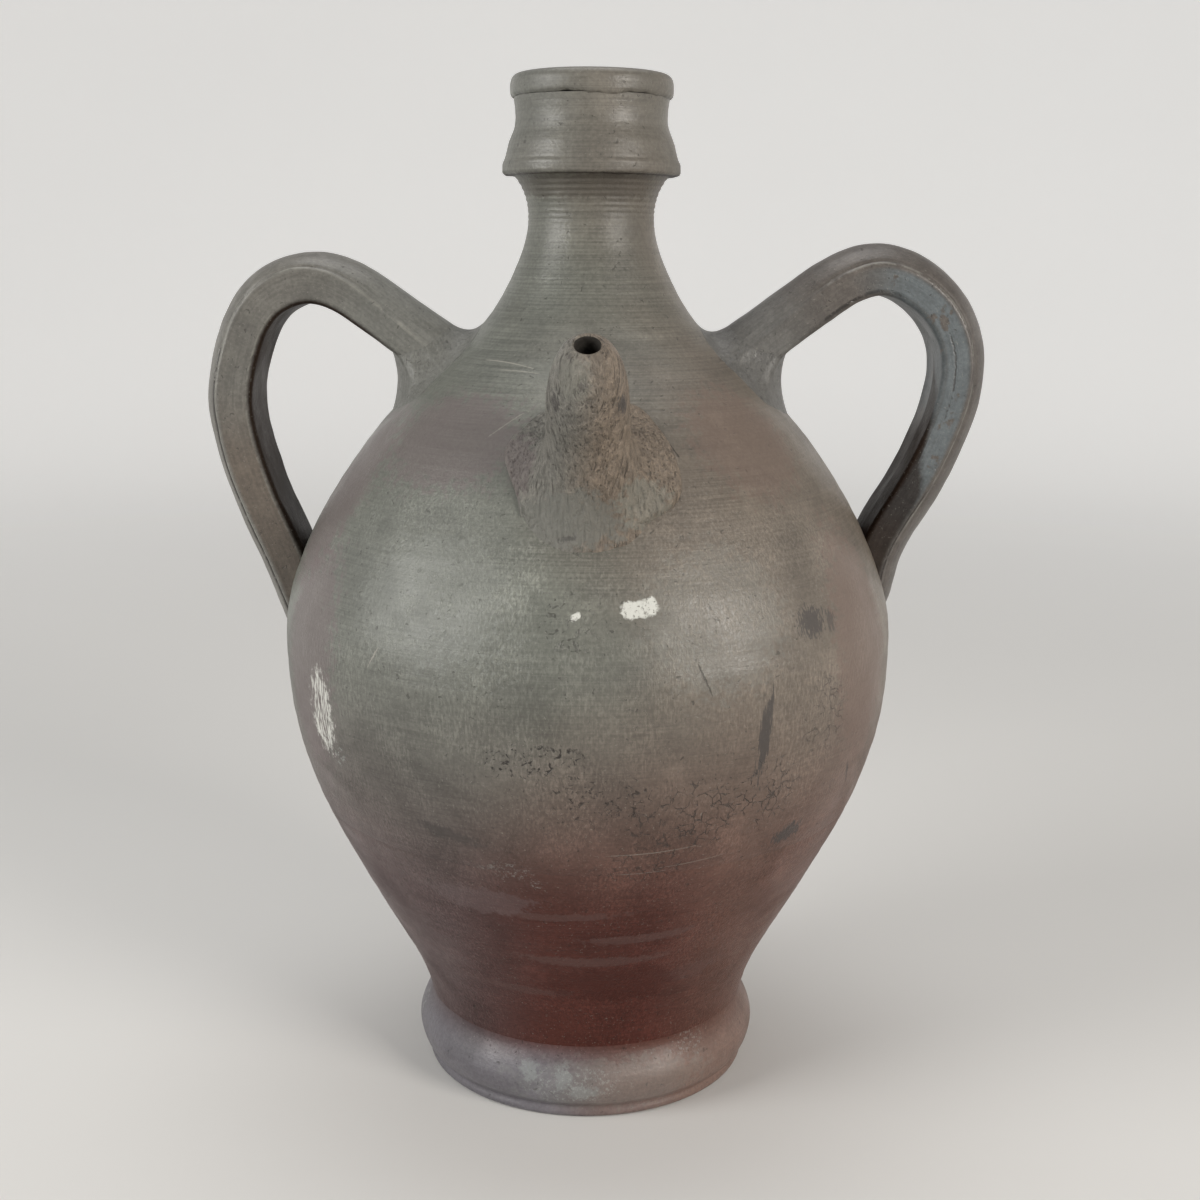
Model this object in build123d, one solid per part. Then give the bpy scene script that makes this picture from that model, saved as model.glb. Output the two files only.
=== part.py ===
from build123d import *
import math
import os

# A black-fired clay water jug with a bottle neck, two strap handles and one drinking spout.
# Lengths are in millimetres and angles in degrees. The origin is the middle of the flat base,
# +Z is up, the spout points to -Y, and the handles stand out to -X and +X.
# The pieces are the potter's: each was formed by itself and luted on while the clay was soft,
# so neighbours meet face to face.

# The thrown body, from the crease above the foot up to the throat
waist_radius = 54.2
foot_height = 25.0
belly_radius = 100.2
belly_rise = 127.0
throat_radius = 20.1
shoulder_rise = 134.0
wall = 6.0
neck_wall = 5.1
base_thickness = 9.0

# Outline of the lower body: shares of the rise and of the growth from waist to belly
lower_shares = [(0.079, 0.070), (0.213, 0.250), (0.449, 0.600), (0.701, 0.894)]
waist_slope_share = 0.32

# Outline of the shoulder and neck: shares of the rise and of the growth from throat to belly
upper_shares = [
    (0.170, 0.940), (0.373, 0.763), (0.582, 0.485), (0.687, 0.286), (0.776, 0.147), (0.866, 0.062),
]

# Where the thrown stages are luted together, as shares of the rise that each one cuts
belly_seam_share = 0.575
neck_seam_share = 0.724

# The neck tube, the collar round it and the rim band on top
throat_length = 12.6
neck_flare = 4.6
collar_height = 23.8
collar_foot_thickness = 8.2
collar_waist_thickness = 3.9
collar_top_thickness = 4.5
collar_roll_height = 4.8
collar_undercut = 1.3
rim_height = 7.6
rim_overhang = 1.1
rim_shoulder_reach = 3.6
rim_crown_reach = 3.4
rim_crown_fall = 0.4
rim_inner_round = 1.5
collar_waist_share = 0.75
rim_edge_share = 0.20
rim_side_share = 0.52

# The foot ring round the base: its flare past the waist, its tuck at the sole, its thickness there,
# and the small lip along the sole with the groove above it
foot_flare = 4.3
foot_tuck = 1.0
foot_thickness = 5.2
foot_lip_reach = 1.9
foot_lip_height = 3.4
foot_groove_depth = 0.5
foot_bulge_share = 0.48

# The spout: its lean is measured upwards from square to the shoulder
spout_root_share = 0.470
spout_lean = 16.1
spout_length = 46.0
spout_root_radius = 14.2
spout_root_flare = 4.3
spout_flare_length = 7.0
spout_hollow = 0.75
spout_neck_radius = 11.4
spout_nose_length = 13.0
spout_nose_round = 0.7
spout_nose_share = 0.75
spout_bore_radius = 3.4
spout_bore_length = 16.0
spout_lip = 0.9
spout_inlet_flare = 2.6

# The clay pressed round the spout's root: its reach past the spout's foot across and along the shoulder
spout_clay_side_reach = 7.0
spout_clay_end_reach = 5.0
spout_clay_proud = 2.6
spout_clay_taper_share = 0.78

# The strap handles: section
strap_width = 27.0
strap_thickness = 16.0
strap_corner = 2.2
strap_dome_share = 0.36
tail_width_share = 0.86
root_share = 0.668
root_thickness_share = 1.16
root_dome_share = 0.62
root_swell_share = 0.35
tail_start_share = 0.75
strap_sections = 16

# The strap handles: how far each crown stands out past the belly and above its widest line
left_projection = 24.1
left_crown_rise = 122.4
left_tail_drop = 6.0
right_projection = 27.3
right_crown_rise = 126.4
right_tail_drop = -8.0

# Centre lines, as shares of the span from the root outwards and from the tail end upwards
left_path_shares = [
    (0.305, 0.922), (0.598, 1.000), (0.832, 0.948), (0.964, 0.805),
    (1.000, 0.690), (0.955, 0.514), (0.893, 0.406),
]
right_path_shares = [
    (0.316, 0.902), (0.628, 1.000), (0.846, 0.942), (0.997, 0.789),
    (1.000, 0.644), (0.932, 0.496), (0.831, 0.356),
]

# How far the crown lies over the belly near the tail: shares of the tail's length and of the strap
left_tail_shares = [(0.230, 0.82), (0.094, 0.13), (0.0, -0.12)]
right_tail_shares = [(0.137, 0.50), (0.062, 0.19), (0.0, -0.12)]

left_sizes = (left_projection, left_crown_rise, left_tail_drop)
right_sizes = (right_projection, right_crown_rise, right_tail_drop)

# The clay pressed round the top end of each handle: how far it spreads past the strap on the shoulder,
# how far it stands out from the strap where it ends, where it sits and how far up the strap it reaches
root_clay_side_spread = 6.0
root_clay_end_spread = 7.0
root_clay_margin = 0.4
root_clay_drop_share = 0.14
root_clay_reach_share = 0.50
root_clay_round_share = 0.333
root_clay_sections = 4

# One overrun serves all cuts
overrun = 20.0

# Steps of the search for a height on an outline, and points of an outline moved inwards
search_steps = 40
offset_points = 8

# Radii and heights worked out from the sizes above
foot_radius = waist_radius + foot_flare
foot_sole_radius = waist_radius - foot_tuck
base_radius = foot_sole_radius - foot_thickness
mouth_radius = throat_radius - neck_wall
collar_foot_radius = throat_radius + collar_foot_thickness
collar_waist_radius = throat_radius + collar_waist_thickness
collar_top_radius = throat_radius + collar_top_thickness
rim_radius = collar_top_radius + rim_overhang
rim_crown_radius = mouth_radius + rim_crown_reach
spout_foot_radius = spout_root_radius + spout_root_flare
spout_tip_radius = spout_bore_radius + spout_lip
spout_inlet_radius = spout_bore_radius + spout_inlet_flare
belly_height = foot_height + belly_rise
throat_height = belly_height + shoulder_rise
collar_bottom = throat_height + throat_length
collar_top = collar_bottom + collar_height
rim_top = collar_top + rim_height
belly_seam_height = foot_height + belly_seam_share * belly_rise
neck_seam_height = belly_height + neck_seam_share * shoulder_rise


def point(radius, height):
    """A point of a turned outline."""
    return Vector(radius, 0, height)


def lower_outline():
    """The outside of the body from the waist to the widest line."""
    growth = belly_radius - waist_radius
    middle = [
        point(waist_radius + radial * growth, foot_height + rise * belly_rise)
        for rise, radial in lower_shares
    ]
    ends = [Vector(waist_slope_share, 0, 1), Vector(0, 0, 1)]
    start = point(waist_radius, foot_height)
    return Spline(start, *middle, point(belly_radius, belly_height), tangents=ends)


def upper_outline():
    """The outside of the body from the widest line to the throat."""
    growth = belly_radius - throat_radius
    middle = [
        point(throat_radius + radial * growth, belly_height + rise * shoulder_rise)
        for rise, radial in upper_shares
    ]
    ends = [Vector(0, 0, 1), Vector(0, 0, 1)]
    end = point(throat_radius, throat_height)
    return Spline(point(belly_radius, belly_height), *middle, end, tangents=ends)


def inward(curve, share, depth):
    """The point at a share of a curve, moved square to it towards the inside."""
    along = curve % share
    return curve @ share + Vector(-along.Z, 0, along.X) * depth


def outline_at(curve, height):
    """The point of a rising outline at a height, and the outward direction there."""
    low, high = 0.0, 1.0
    for _ in range(search_steps):
        middle = (low + high) / 2
        if (curve @ middle).Z < height:
            low = middle
        else:
            high = middle
    along = curve % low
    return curve @ low, Vector(along.Z, 0, -along.X)


lower_curve = lower_outline()
upper_curve = upper_outline()


def surface_at(height):
    """The outside of the body at a height: the point and the outward direction."""
    curve = upper_curve if height > belly_height else lower_curve
    return outline_at(curve, height)


def turned(outline):
    """A solid of revolution about the jug's axis from a closed outline."""
    return revolve(make_face(outline), Axis.Z)


def filled_body(lower, upper):
    """The whole body without its hollow, inside a lower and an upper outline."""
    top = (upper @ 1) + Vector(0, 0, throat_length)
    rest = Polyline(upper @ 1, top, point(0, top.Z), point(0, 0), lower @ 0)
    return turned([lower, upper, rest])


def offset_curve(curve, first_depth, last_depth):
    """An outline moved square to itself, inwards, by a depth that changes steadily along it."""
    shares = [step / offset_points for step in range(offset_points + 1)]
    points = [inward(curve, share, first_depth + (last_depth - first_depth) * share) for share in shares]
    return Spline(*points, tangents=[curve % 0, curve % 1])


def body_wall():
    """The thrown wall with its flat floor, from the base to the throat and up the neck."""
    lower_inside = offset_curve(lower_curve, wall, wall)
    upper_inside = offset_curve(upper_curve, wall, neck_wall)
    outside_low = Polyline(point(0, 0), point(base_radius, 0), lower_curve @ 0)
    flare = Spline(
        upper_curve @ 1,
        point(throat_radius + neck_flare, collar_bottom),
        tangents=[Vector(0, 0, 1), Vector(1, 0, 1)],
    )
    top = Polyline(
        flare @ 1,
        point(throat_radius, collar_bottom),
        point(throat_radius, collar_top),
        point(mouth_radius, collar_top),
        upper_inside @ 1,
    )
    corner = Vector(base_radius - wall, 0, base_thickness)
    inside_low = Polyline(lower_inside @ 0, corner, point(0, base_thickness), point(0, 0))
    outside = [outside_low, lower_curve, upper_curve, flare, top]
    return turned([*outside, upper_inside, lower_inside, inside_low])


def mouth_collar():
    """The cuff round the neck: a rolled foot, a small groove and a hollow waist."""
    roll_top = collar_bottom + collar_roll_height
    roll_middle = collar_bottom + collar_undercut
    groove_radius = collar_foot_radius - collar_undercut / 2
    waist_height = collar_bottom + collar_waist_share * collar_height
    under = Polyline(
        point(throat_radius, collar_top),
        point(throat_radius, collar_bottom),
        point(collar_foot_radius - collar_undercut, collar_bottom),
    )
    roll = ThreePointArc(
        under @ 1,
        point(collar_foot_radius, (roll_middle + roll_top) / 2),
        point(groove_radius, roll_top),
    )
    waist = Spline(
        roll @ 1,
        point(collar_waist_radius, waist_height),
        point(collar_top_radius, collar_top),
    )
    return turned([under, roll, waist, Line(waist @ 1, under @ 0)])


def shoulder_arc(side, crown):
    """An arc from an upright side up and over to a level crown."""
    swing = math.sin(math.radians(45))
    middle = point(crown.X + swing * (side.X - crown.X), side.Z + swing * (crown.Z - side.Z))
    return ThreePointArc(side, middle, crown)


def rim_band():
    """The lip: a band that overhangs the collar and rounds over into the mouth."""
    edge_height = collar_top + rim_edge_share * rim_height
    bore = Line(point(mouth_radius, rim_top - rim_inner_round), point(mouth_radius, collar_top))
    under = Polyline(
        bore @ 1,
        point(rim_radius - rim_inner_round / 2, collar_top),
        point(rim_radius, edge_height),
    )
    side = Line(under @ 1, point(rim_radius, collar_top + rim_side_share * rim_height))
    over = shoulder_arc(side @ 1, point(rim_radius - rim_shoulder_reach, rim_top - rim_crown_fall))
    lip = shoulder_arc(bore @ 0, point(mouth_radius + rim_inner_round, rim_top))
    crown = Polyline(over @ 1, point(rim_crown_radius, rim_top), lip @ 1)
    return turned([bore, under, side, over, crown, lip])


def foot_ring():
    """The flared ring of clay round the base, flush with it below."""
    lip_radius = foot_sole_radius + foot_lip_reach
    lip = ThreePointArc(
        point(foot_sole_radius, 0),
        point(lip_radius, foot_lip_height / 2),
        point(lip_radius - foot_groove_depth, foot_lip_height),
    )
    outside = Spline(
        lip @ 1,
        point(foot_radius, foot_bulge_share * foot_height),
        point(waist_radius, foot_height),
        tangents=[Vector(1, 0, 1), Vector(-1, 0, 1)],
    )
    seat = Polyline(outside @ 1, point(base_radius, 0), lip @ 0)
    return turned([lip, outside, seat])


def spout_frame():
    """The spout's own frame: its root on the shoulder, with Z along its axis."""
    root, outward = surface_at(belly_height + spout_root_share * shoulder_rise)
    slope = math.atan2(outward.Z, outward.X) + math.radians(spout_lean)
    axis = Vector(0, -math.cos(slope), math.sin(slope))
    return Plane(origin=Vector(0, -root.X, root.Z), x_dir=Vector(1, 0, 0), z_dir=axis)


def spout_bore():
    """The drinking hole: straight at the tip, then widening down into the jug."""
    straight_start = spout_length - spout_bore_length
    outline = Polyline(
        point(0, spout_length + overrun),
        point(spout_bore_radius, spout_length + overrun),
        point(spout_bore_radius, straight_start),
        point(spout_inlet_radius, 0),
        point(spout_inlet_radius, -overrun),
        point(0, -overrun),
        close=True,
    )
    return spout_frame() * turned(outline)


def spout_blank():
    """The spout's outside: a thick cone that rounds over into a small nose."""
    shoulder = spout_length - spout_nose_length
    middle_radius = (spout_root_radius + spout_neck_radius) / 2 - spout_hollow
    nose_radius = (spout_neck_radius + spout_tip_radius) / 2 + spout_nose_round
    side = Spline(
        point(spout_foot_radius, -spout_flare_length),
        point(spout_root_radius, spout_flare_length),
        point(middle_radius, shoulder / 2),
        point(spout_neck_radius, shoulder),
        point(nose_radius, shoulder + spout_nose_share * spout_nose_length),
        point(spout_tip_radius, spout_length),
    )
    close = Polyline(
        side @ 1,
        point(0, spout_length),
        point(0, -overrun),
        point(spout_foot_radius, -overrun),
        side @ 0,
    )
    return spout_frame() * turned([side, close])


def spout_clay():
    """The oval of clay smeared round the spout's root, thin at its edges."""
    spot, outward = surface_at(belly_height + spout_root_share * shoulder_rise)
    normal = Vector(0, -outward.X, outward.Z)
    base = Plane(origin=Vector(0, -spot.X, spot.Z), x_dir=Vector(1, 0, 0), z_dir=normal)

    def oval(share, height):
        side = (spout_foot_radius + spout_clay_side_reach) * share
        end = (spout_foot_radius + spout_clay_end_reach) * share
        return base.offset(height) * Ellipse(side, end)

    wide = oval(1 / spout_clay_taper_share, -overrun)
    narrow = oval(spout_clay_taper_share, overrun / 2)
    lower_skin = offset_curve(lower_curve, -spout_clay_proud, -spout_clay_proud)
    upper_skin = offset_curve(upper_curve, -spout_clay_proud, -spout_clay_proud)
    return loft([wide, narrow]) & filled_body(lower_skin, upper_skin)


def strap_section(place, width, thickness, dome_share):
    """The strap's section: flat inside, upright sides and a domed outside with a crease."""
    half, deep = width / 2, thickness / 2
    spring = deep - dome_share * thickness
    sides = Polyline(
        (-half, spring),
        (-half, strap_corner - deep),
        (strap_corner - half, -deep),
        (half - strap_corner, -deep),
        (half, strap_corner - deep),
        (half, spring),
    )
    dome = ThreePointArc(sides @ 1, (0, deep), sides @ 0)
    return place * make_face([sides, dome])


def strap_limb(sizes, path_shares):
    """The centre of a strap from its root outwards and down: the root, and the points after it."""
    projection, crown_rise, tail_drop = sizes
    root = surface_at(belly_height + root_share * shoulder_rise)[0]
    tail_height = belly_height - tail_drop
    reach = belly_radius + projection - strap_thickness / 2 - root.X
    rise = tail_drop + crown_rise - strap_thickness / 2
    return root, [point(root.X + out * reach, tail_height + up * rise) for out, up in path_shares]


def strap_tail(sizes, tail_shares):
    """The centre of a strap where it runs down into the belly."""
    crown_rise, tail_drop = sizes[1:]
    rise = tail_drop + crown_rise - strap_thickness / 2
    tail = []
    for up, proud in tail_shares:
        spot, outward = surface_at(belly_height - tail_drop + up * rise)
        tail.append(spot + outward * (proud * strap_thickness - strap_thickness / 2))
    return tail


def strap_handle(sizes, path_shares, tail_shares):
    """A pulled strap on the +X side, from inside the shoulder to the end of its tail."""
    root, limb = strap_limb(sizes, path_shares)
    buried = root - (limb[0] - root).normalized() * strap_thickness
    centre_line = Spline(buried, *limb, *strap_tail(sizes, tail_shares))
    sections = []
    for step in range(strap_sections + 1):
        share = step / strap_sections
        from_root = max(0, 1 - share / root_swell_share)
        to_tail = max(0, (share - tail_start_share) / (1 - tail_start_share))
        thickness = strap_thickness * (1 + (root_thickness_share - 1) * from_root)
        width = strap_width * (1 + (tail_width_share - 1) * to_tail)
        dome_share = strap_dome_share + (root_dome_share - strap_dome_share) * from_root
        place = Plane(origin=centre_line @ share, x_dir=Vector(0, 1, 0), z_dir=centre_line % share)
        sections.append(strap_section(place, width, thickness, dome_share))
    return loft(sections)


def root_clay(sizes, path_shares):
    """The clay pressed round a handle's top end, flared from the limb onto the shoulder (+X side)."""
    root, limb = strap_limb(sizes, path_shares)
    root_thickness = strap_thickness * root_thickness_share
    flared_width = strap_width + 2 * root_clay_side_spread
    flared_length = root_thickness + 2 * root_clay_end_spread
    end_width = strap_width + 2 * root_clay_margin
    end_length = (strap_thickness + root_thickness) / 2 + 2 * root_clay_margin
    spot, outward = surface_at(root.Z - root_clay_drop_share * flared_length)
    along = limb[0] - root
    end = root + along * root_clay_reach_share
    across = Vector(0, 1, 0)

    def oval(place, flare):
        width = end_width + (flared_width - end_width) * flare
        length = end_length + (flared_length - end_length) * flare
        return place * RectangleRounded(width, length, root_clay_round_share * length)

    sections = [oval(Plane(origin=spot, x_dir=across, z_dir=outward).offset(-wall), 1)]
    for step in range(root_clay_sections + 1):
        share = step / root_clay_sections
        turn = outward * (1 - share) + along.normalized() * share
        place = Plane(origin=spot + (end - spot) * share, x_dir=across, z_dir=turn)
        sections.append(oval(place, (1 - share) ** 2))
    return loft(sections)


def below(height):
    """A half space, as a block, under a height."""
    side = 2 * (belly_radius + left_projection + right_projection + overrun)
    return Pos(0, 0, height - side / 2) * Box(side, side, side)


def main():
    """Build every piece of clay and write one file for each."""
    core = filled_body(lower_curve, upper_curve)
    bore = spout_bore()
    shell = body_wall() - bore
    low_cut, high_cut = below(belly_seam_height), below(neck_seam_height)
    pieces = {
        "foot_ring": foot_ring(),
        "lower_belly": shell & low_cut,
        "upper_belly": (shell - low_cut) & high_cut,
        "neck": shell - high_cut,
        "mouth_collar": mouth_collar(),
        "rim_band": rim_band(),
        "spout": spout_blank() - bore - core,
        "spout_root_clay": spout_clay() - core - spout_blank(),
    }
    left_handle = strap_handle(left_sizes, left_path_shares, left_tail_shares) - core
    right_handle = strap_handle(right_sizes, right_path_shares, right_tail_shares) - core
    left_clay = root_clay(left_sizes, left_path_shares) - core - left_handle
    right_clay = root_clay(right_sizes, right_path_shares) - core - right_handle
    pieces["handle_left"] = mirror(left_handle, Plane.YZ)
    pieces["handle_right"] = right_handle
    pieces["root_clay_left"] = mirror(left_clay, Plane.YZ)
    pieces["root_clay_right"] = right_clay
    os.makedirs("parts", exist_ok=True)
    for name, piece in pieces.items():
        export_step(piece, os.path.join("parts", name + ".step"))


if __name__ == "__main__":
    main()
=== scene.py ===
import logging
import math
from dataclasses import dataclass, field
from enum import Enum
from functools import cached_property
from typing import Callable, Iterable

import bmesh
import bpy
import numpy as np
from mathutils import Matrix, Vector, noise


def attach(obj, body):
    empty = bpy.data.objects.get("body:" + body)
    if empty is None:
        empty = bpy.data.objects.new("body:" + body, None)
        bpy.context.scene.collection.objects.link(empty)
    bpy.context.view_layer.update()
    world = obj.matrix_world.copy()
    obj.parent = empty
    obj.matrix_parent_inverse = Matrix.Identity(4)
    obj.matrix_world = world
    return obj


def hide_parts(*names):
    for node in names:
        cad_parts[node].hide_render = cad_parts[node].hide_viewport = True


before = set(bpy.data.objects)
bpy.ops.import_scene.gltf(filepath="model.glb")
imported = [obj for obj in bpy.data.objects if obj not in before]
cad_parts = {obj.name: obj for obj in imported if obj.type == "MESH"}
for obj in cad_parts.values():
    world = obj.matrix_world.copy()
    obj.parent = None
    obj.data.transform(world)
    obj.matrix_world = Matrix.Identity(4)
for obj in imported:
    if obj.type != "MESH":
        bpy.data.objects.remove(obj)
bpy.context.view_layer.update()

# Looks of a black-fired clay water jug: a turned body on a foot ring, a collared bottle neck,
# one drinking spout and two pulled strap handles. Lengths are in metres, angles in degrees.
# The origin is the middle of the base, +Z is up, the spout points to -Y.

LOG = logging.getLogger("jug")
MM = 0.001
ROOT_BODY = "root"
Colour = tuple[float, float, float]
Socket = bpy.types.NodeSocket
Value = Socket | float
Amounts = tuple[tuple[float, float], ...]


class Slot(Enum):
    """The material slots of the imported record."""

    BLACK = "black_clay"
    FOOT = "foot_clay"
    STRAP = "strap_clay"


class MarkKind(Enum):
    """What a local mark on the clay is."""

    CHALK = "chalk"
    # Tone patches: real bloom on some marks, painted sheen, painted shade and painted reflection on others.
    BLOOM = "bloom"
    FROST = "frost"
    SMUDGE = "smudge"
    SCORE = "score"
    SCRATCH = "scratch"
    CRACKLE = "crackle"
    PITS = "pits"


# Curves and outlines


class SmoothLine:
    """A smooth curve through a few points: a cubic spline by chord length."""

    def __init__(self, points: Iterable, start: Vector | None = None, end: Vector | None = None) -> None:
        """Fits the curve.

        Args:
            points: The points that the curve passes, as vectors.
            start: The unit direction at the first point, or None for a free end.
            end: The unit direction at the last point, or None for a free end.
        """
        self.points = np.array([tuple(p) for p in points], float)
        self.steps = np.linalg.norm(np.diff(self.points, axis=0), axis=1)
        self.knots = np.concatenate([[0.0], np.cumsum(self.steps)])
        self.length = float(self.knots[-1])
        count = len(self.points)
        chords = np.diff(self.points, axis=0) / self.steps[:, None]
        system = np.zeros((count, count))
        wanted = np.zeros_like(self.points)
        for i in range(1, count - 1):
            before, after = 1 / self.steps[i - 1], 1 / self.steps[i]
            system[i, i - 1 : i + 2] = before, 2 * (before + after), after
            wanted[i] = 3 * (chords[i - 1] * before + chords[i] * after)
        ends = ((0, 1, start, chords[0]), (count - 1, count - 2, end, chords[-1]))
        for i, near, direction, chord in ends:
            system[i, i] = 1.0 if direction is not None else 2.0
            system[i, near] = 0.0 if direction is not None else 1.0
            wanted[i] = np.array(tuple(direction)) if direction is not None else 3 * chord
        self.slopes = np.linalg.solve(system, wanted)

    def at(self, share: float) -> Vector:
        """The point at a share of the curve's length.

        Args:
            share: The share, from 0 to 1.

        Returns:
            The point.
        """
        distance = share * self.length
        i = int(np.clip(np.searchsorted(self.knots, distance) - 1, 0, len(self.steps) - 1))
        step = self.steps[i]
        t = (distance - self.knots[i]) / step
        a, b, c, d = (2 * t - 3) * t * t + 1, ((t - 2) * t + 1) * t, (3 - 2 * t) * t * t, (t - 1) * t * t
        spot = a * self.points[i] + b * step * self.slopes[i]
        return Vector(spot + c * self.points[i + 1] + d * step * self.slopes[i + 1])

    def along(self, share: float) -> Vector:
        """The unit direction of the curve at a share of its length."""
        nudge = 1e-4
        return (self.at(min(1.0, share + nudge)) - self.at(max(0.0, share - nudge))).normalized()

    def spread(self, step: float) -> list[Vector]:
        """Points along the curve, no further apart than a step."""
        count = math.ceil(self.length / step)
        return [self.at(i / count) for i in range(count + 1)]


def ease(value: float, low: float, high: float) -> float:
    """A smooth step from 0 at low to 1 at high."""
    t = min(1.0, max(0.0, (value - low) / (high - low)))
    return t * t * (3 - 2 * t)


def bell(value: float, centre: float, width: float) -> float:
    """A smooth bump of height 1 about a centre."""
    return math.exp(-(((value - centre) / width) ** 2))


def clay_noise(place: Vector, scale: float) -> float:
    """Smooth noise from -1 to 1 at a scale in cycles a metre."""
    return noise.noise(place * scale)


def swells(place: Vector, amounts: Amounts) -> float:
    """The sum of smooth noises, each given by its scale in cycles a metre and its height."""
    return sum(clay_noise(place, scale) * height for scale, height in amounts)


def outwards(place: Vector) -> Vector:
    """The level unit direction from the jug's axis to a point."""
    return Vector((place.x, place.y, 0)).normalized()


def from_axis(place: Vector) -> float:
    """How far a point lies from the jug's axis."""
    return math.hypot(place.x, place.y)


def drawn_in(place: Vector, share: float = 0.1) -> Vector:
    """A point drawn in toward the axis, where noise makes lines that run round the jug."""
    return Vector((place.x * share, place.y * share, place.z))


@dataclass
class BodyOutline:
    """The outline of the turned body, from the crease above the foot to the throat of the neck."""

    waist_radius: float = 54.2 * MM
    foot_height: float = 25.0 * MM
    belly_radius: float = 100.2 * MM
    belly_rise: float = 127.0 * MM
    throat_radius: float = 20.1 * MM
    shoulder_rise: float = 134.0 * MM
    wall: float = 6.0 * MM
    neck_wall: float = 5.1 * MM
    throat_length: float = 12.6 * MM
    collar_height: float = 23.8 * MM
    rim_height: float = 7.6 * MM
    waist_slope_share: float = 0.32
    belly_seam_share: float = 0.575
    neck_seam_share: float = 0.724
    lower_shares: tuple = ((0.079, 0.070), (0.213, 0.250), (0.449, 0.600), (0.701, 0.894))
    upper_shares: tuple = (
        (0.170, 0.940), (0.373, 0.763), (0.582, 0.485), (0.687, 0.286), (0.776, 0.147), (0.866, 0.062),
    )
    samples: int = 900
    grain: float = 0.1 * MM
    slope_reach: float = 1.0 * MM
    least_rise_share: float = 0.3

    @property
    def belly_height(self) -> float:
        """The height of the widest line."""
        return self.foot_height + self.belly_rise

    @property
    def throat_height(self) -> float:
        """The height of the narrowest line of the neck."""
        return self.belly_height + self.shoulder_rise

    @property
    def collar_bottom(self) -> float:
        """The height of the collar's lower edge."""
        return self.throat_height + self.throat_length

    @property
    def collar_top(self) -> float:
        """The height where the rim band sits on the collar."""
        return self.collar_bottom + self.collar_height

    @property
    def belly_seam(self) -> float:
        """The height of the scored line where the two thrown stages meet."""
        return self.foot_height + self.belly_seam_share * self.belly_rise

    @property
    def neck_seam(self) -> float:
        """The height where the neck meets the shoulder."""
        return self.belly_height + self.neck_seam_share * self.shoulder_rise

    @cached_property
    def lower(self) -> SmoothLine:
        """The outside from the waist to the widest line.

        Returns:
            The curve, in the plane of the axis.
        """
        growth = self.belly_radius - self.waist_radius
        middle = [
            (self.waist_radius + out * growth, 0, self.foot_height + up * self.belly_rise)
            for up, out in self.lower_shares
        ]
        first, last = (self.waist_radius, 0, self.foot_height), (self.belly_radius, 0, self.belly_height)
        slope = Vector((self.waist_slope_share, 0, 1)).normalized()
        return SmoothLine([first, *middle, last], slope, Vector((0, 0, 1)))

    @cached_property
    def upper(self) -> SmoothLine:
        """The outside from the widest line to the throat.

        Returns:
            The curve, in the plane of the axis.
        """
        growth = self.belly_radius - self.throat_radius
        middle = [
            (self.throat_radius + out * growth, 0, self.belly_height + up * self.shoulder_rise)
            for up, out in self.upper_shares
        ]
        first, last = (self.belly_radius, 0, self.belly_height), (self.throat_radius, 0, self.throat_height)
        return SmoothLine([first, *middle, last], Vector((0, 0, 1)), Vector((0, 0, 1)))

    @cached_property
    def radii(self) -> list[float]:
        """The outer radius at evenly rising heights, from the waist to the throat.

        Returns:
            The radii, one for each step of the grain.
        """
        shares = np.linspace(0, 1, self.samples)
        spots = [self.lower.at(s) for s in shares] + [self.upper.at(s) for s in shares[1:]]
        count = round((self.throat_height - self.foot_height) / self.grain) + 1
        heights = self.foot_height + self.grain * np.arange(count)
        return [float(r) for r in np.interp(heights, [p.z for p in spots], [p.x for p in spots])]

    def radius(self, height: float) -> float:
        """The body's outer radius at a height.

        Args:
            height: The height, from the waist to the throat.

        Returns:
            The radius.
        """
        place = min(max((height - self.foot_height) / self.grain, 0.0), len(self.radii) - 1.001)
        i = int(place)
        return self.radii[i] + (self.radii[i + 1] - self.radii[i]) * (place - i)

    def slope(self, height: float) -> Vector:
        """The unit direction that rises along the outline at a height.

        Args:
            height: The height on the outline.

        Returns:
            The direction, as radius and height.
        """
        step = self.radius(height + self.slope_reach) - self.radius(height - self.slope_reach)
        return Vector((step, 0, 2 * self.slope_reach)).normalized()

    def outward(self, height: float) -> Vector:
        """The unit direction square to the outline at a height, as radius and height."""
        along = self.slope(height)
        return Vector((along.z, 0, -along.x))

    def spot(self, height: float, azimuth: float = 0.0, proud: float = 0.0) -> Vector:
        """A point on the body.

        Args:
            height: The height on the outline.
            azimuth: The angle about the axis from +X, in radians.
            proud: How far the point stands out square to the wall.

        Returns:
            The point.
        """
        flat = Vector((self.radius(height), 0, height)) + self.outward(height) * proud
        return Vector((flat.x * math.cos(azimuth), flat.x * math.sin(azimuth), flat.z))

    def normal(self, place: Vector) -> Vector:
        """The body's outward direction at a point on or near it.

        Args:
            place: The point.

        Returns:
            The unit direction.
        """
        flat = self.outward(place.z)
        around = outwards(place)
        return Vector((around.x * flat.x, around.y * flat.x, flat.z))

    def depth(self, place: Vector) -> float:
        """How far a point lies inside the body's outside: positive inside."""
        across = self.radius(place.z) - math.hypot(place.x, place.y)
        return across * self.outward(place.z).x

    def on_body(self, place: Vector) -> Vector:
        """The nearest point of the body's outside.

        Args:
            place: A point on or near the body.

        Returns:
            The point on the outside.
        """
        spot = place.copy()
        for _ in range(2):
            spot = spot + self.normal(spot) * self.depth(spot)
        return spot

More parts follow.
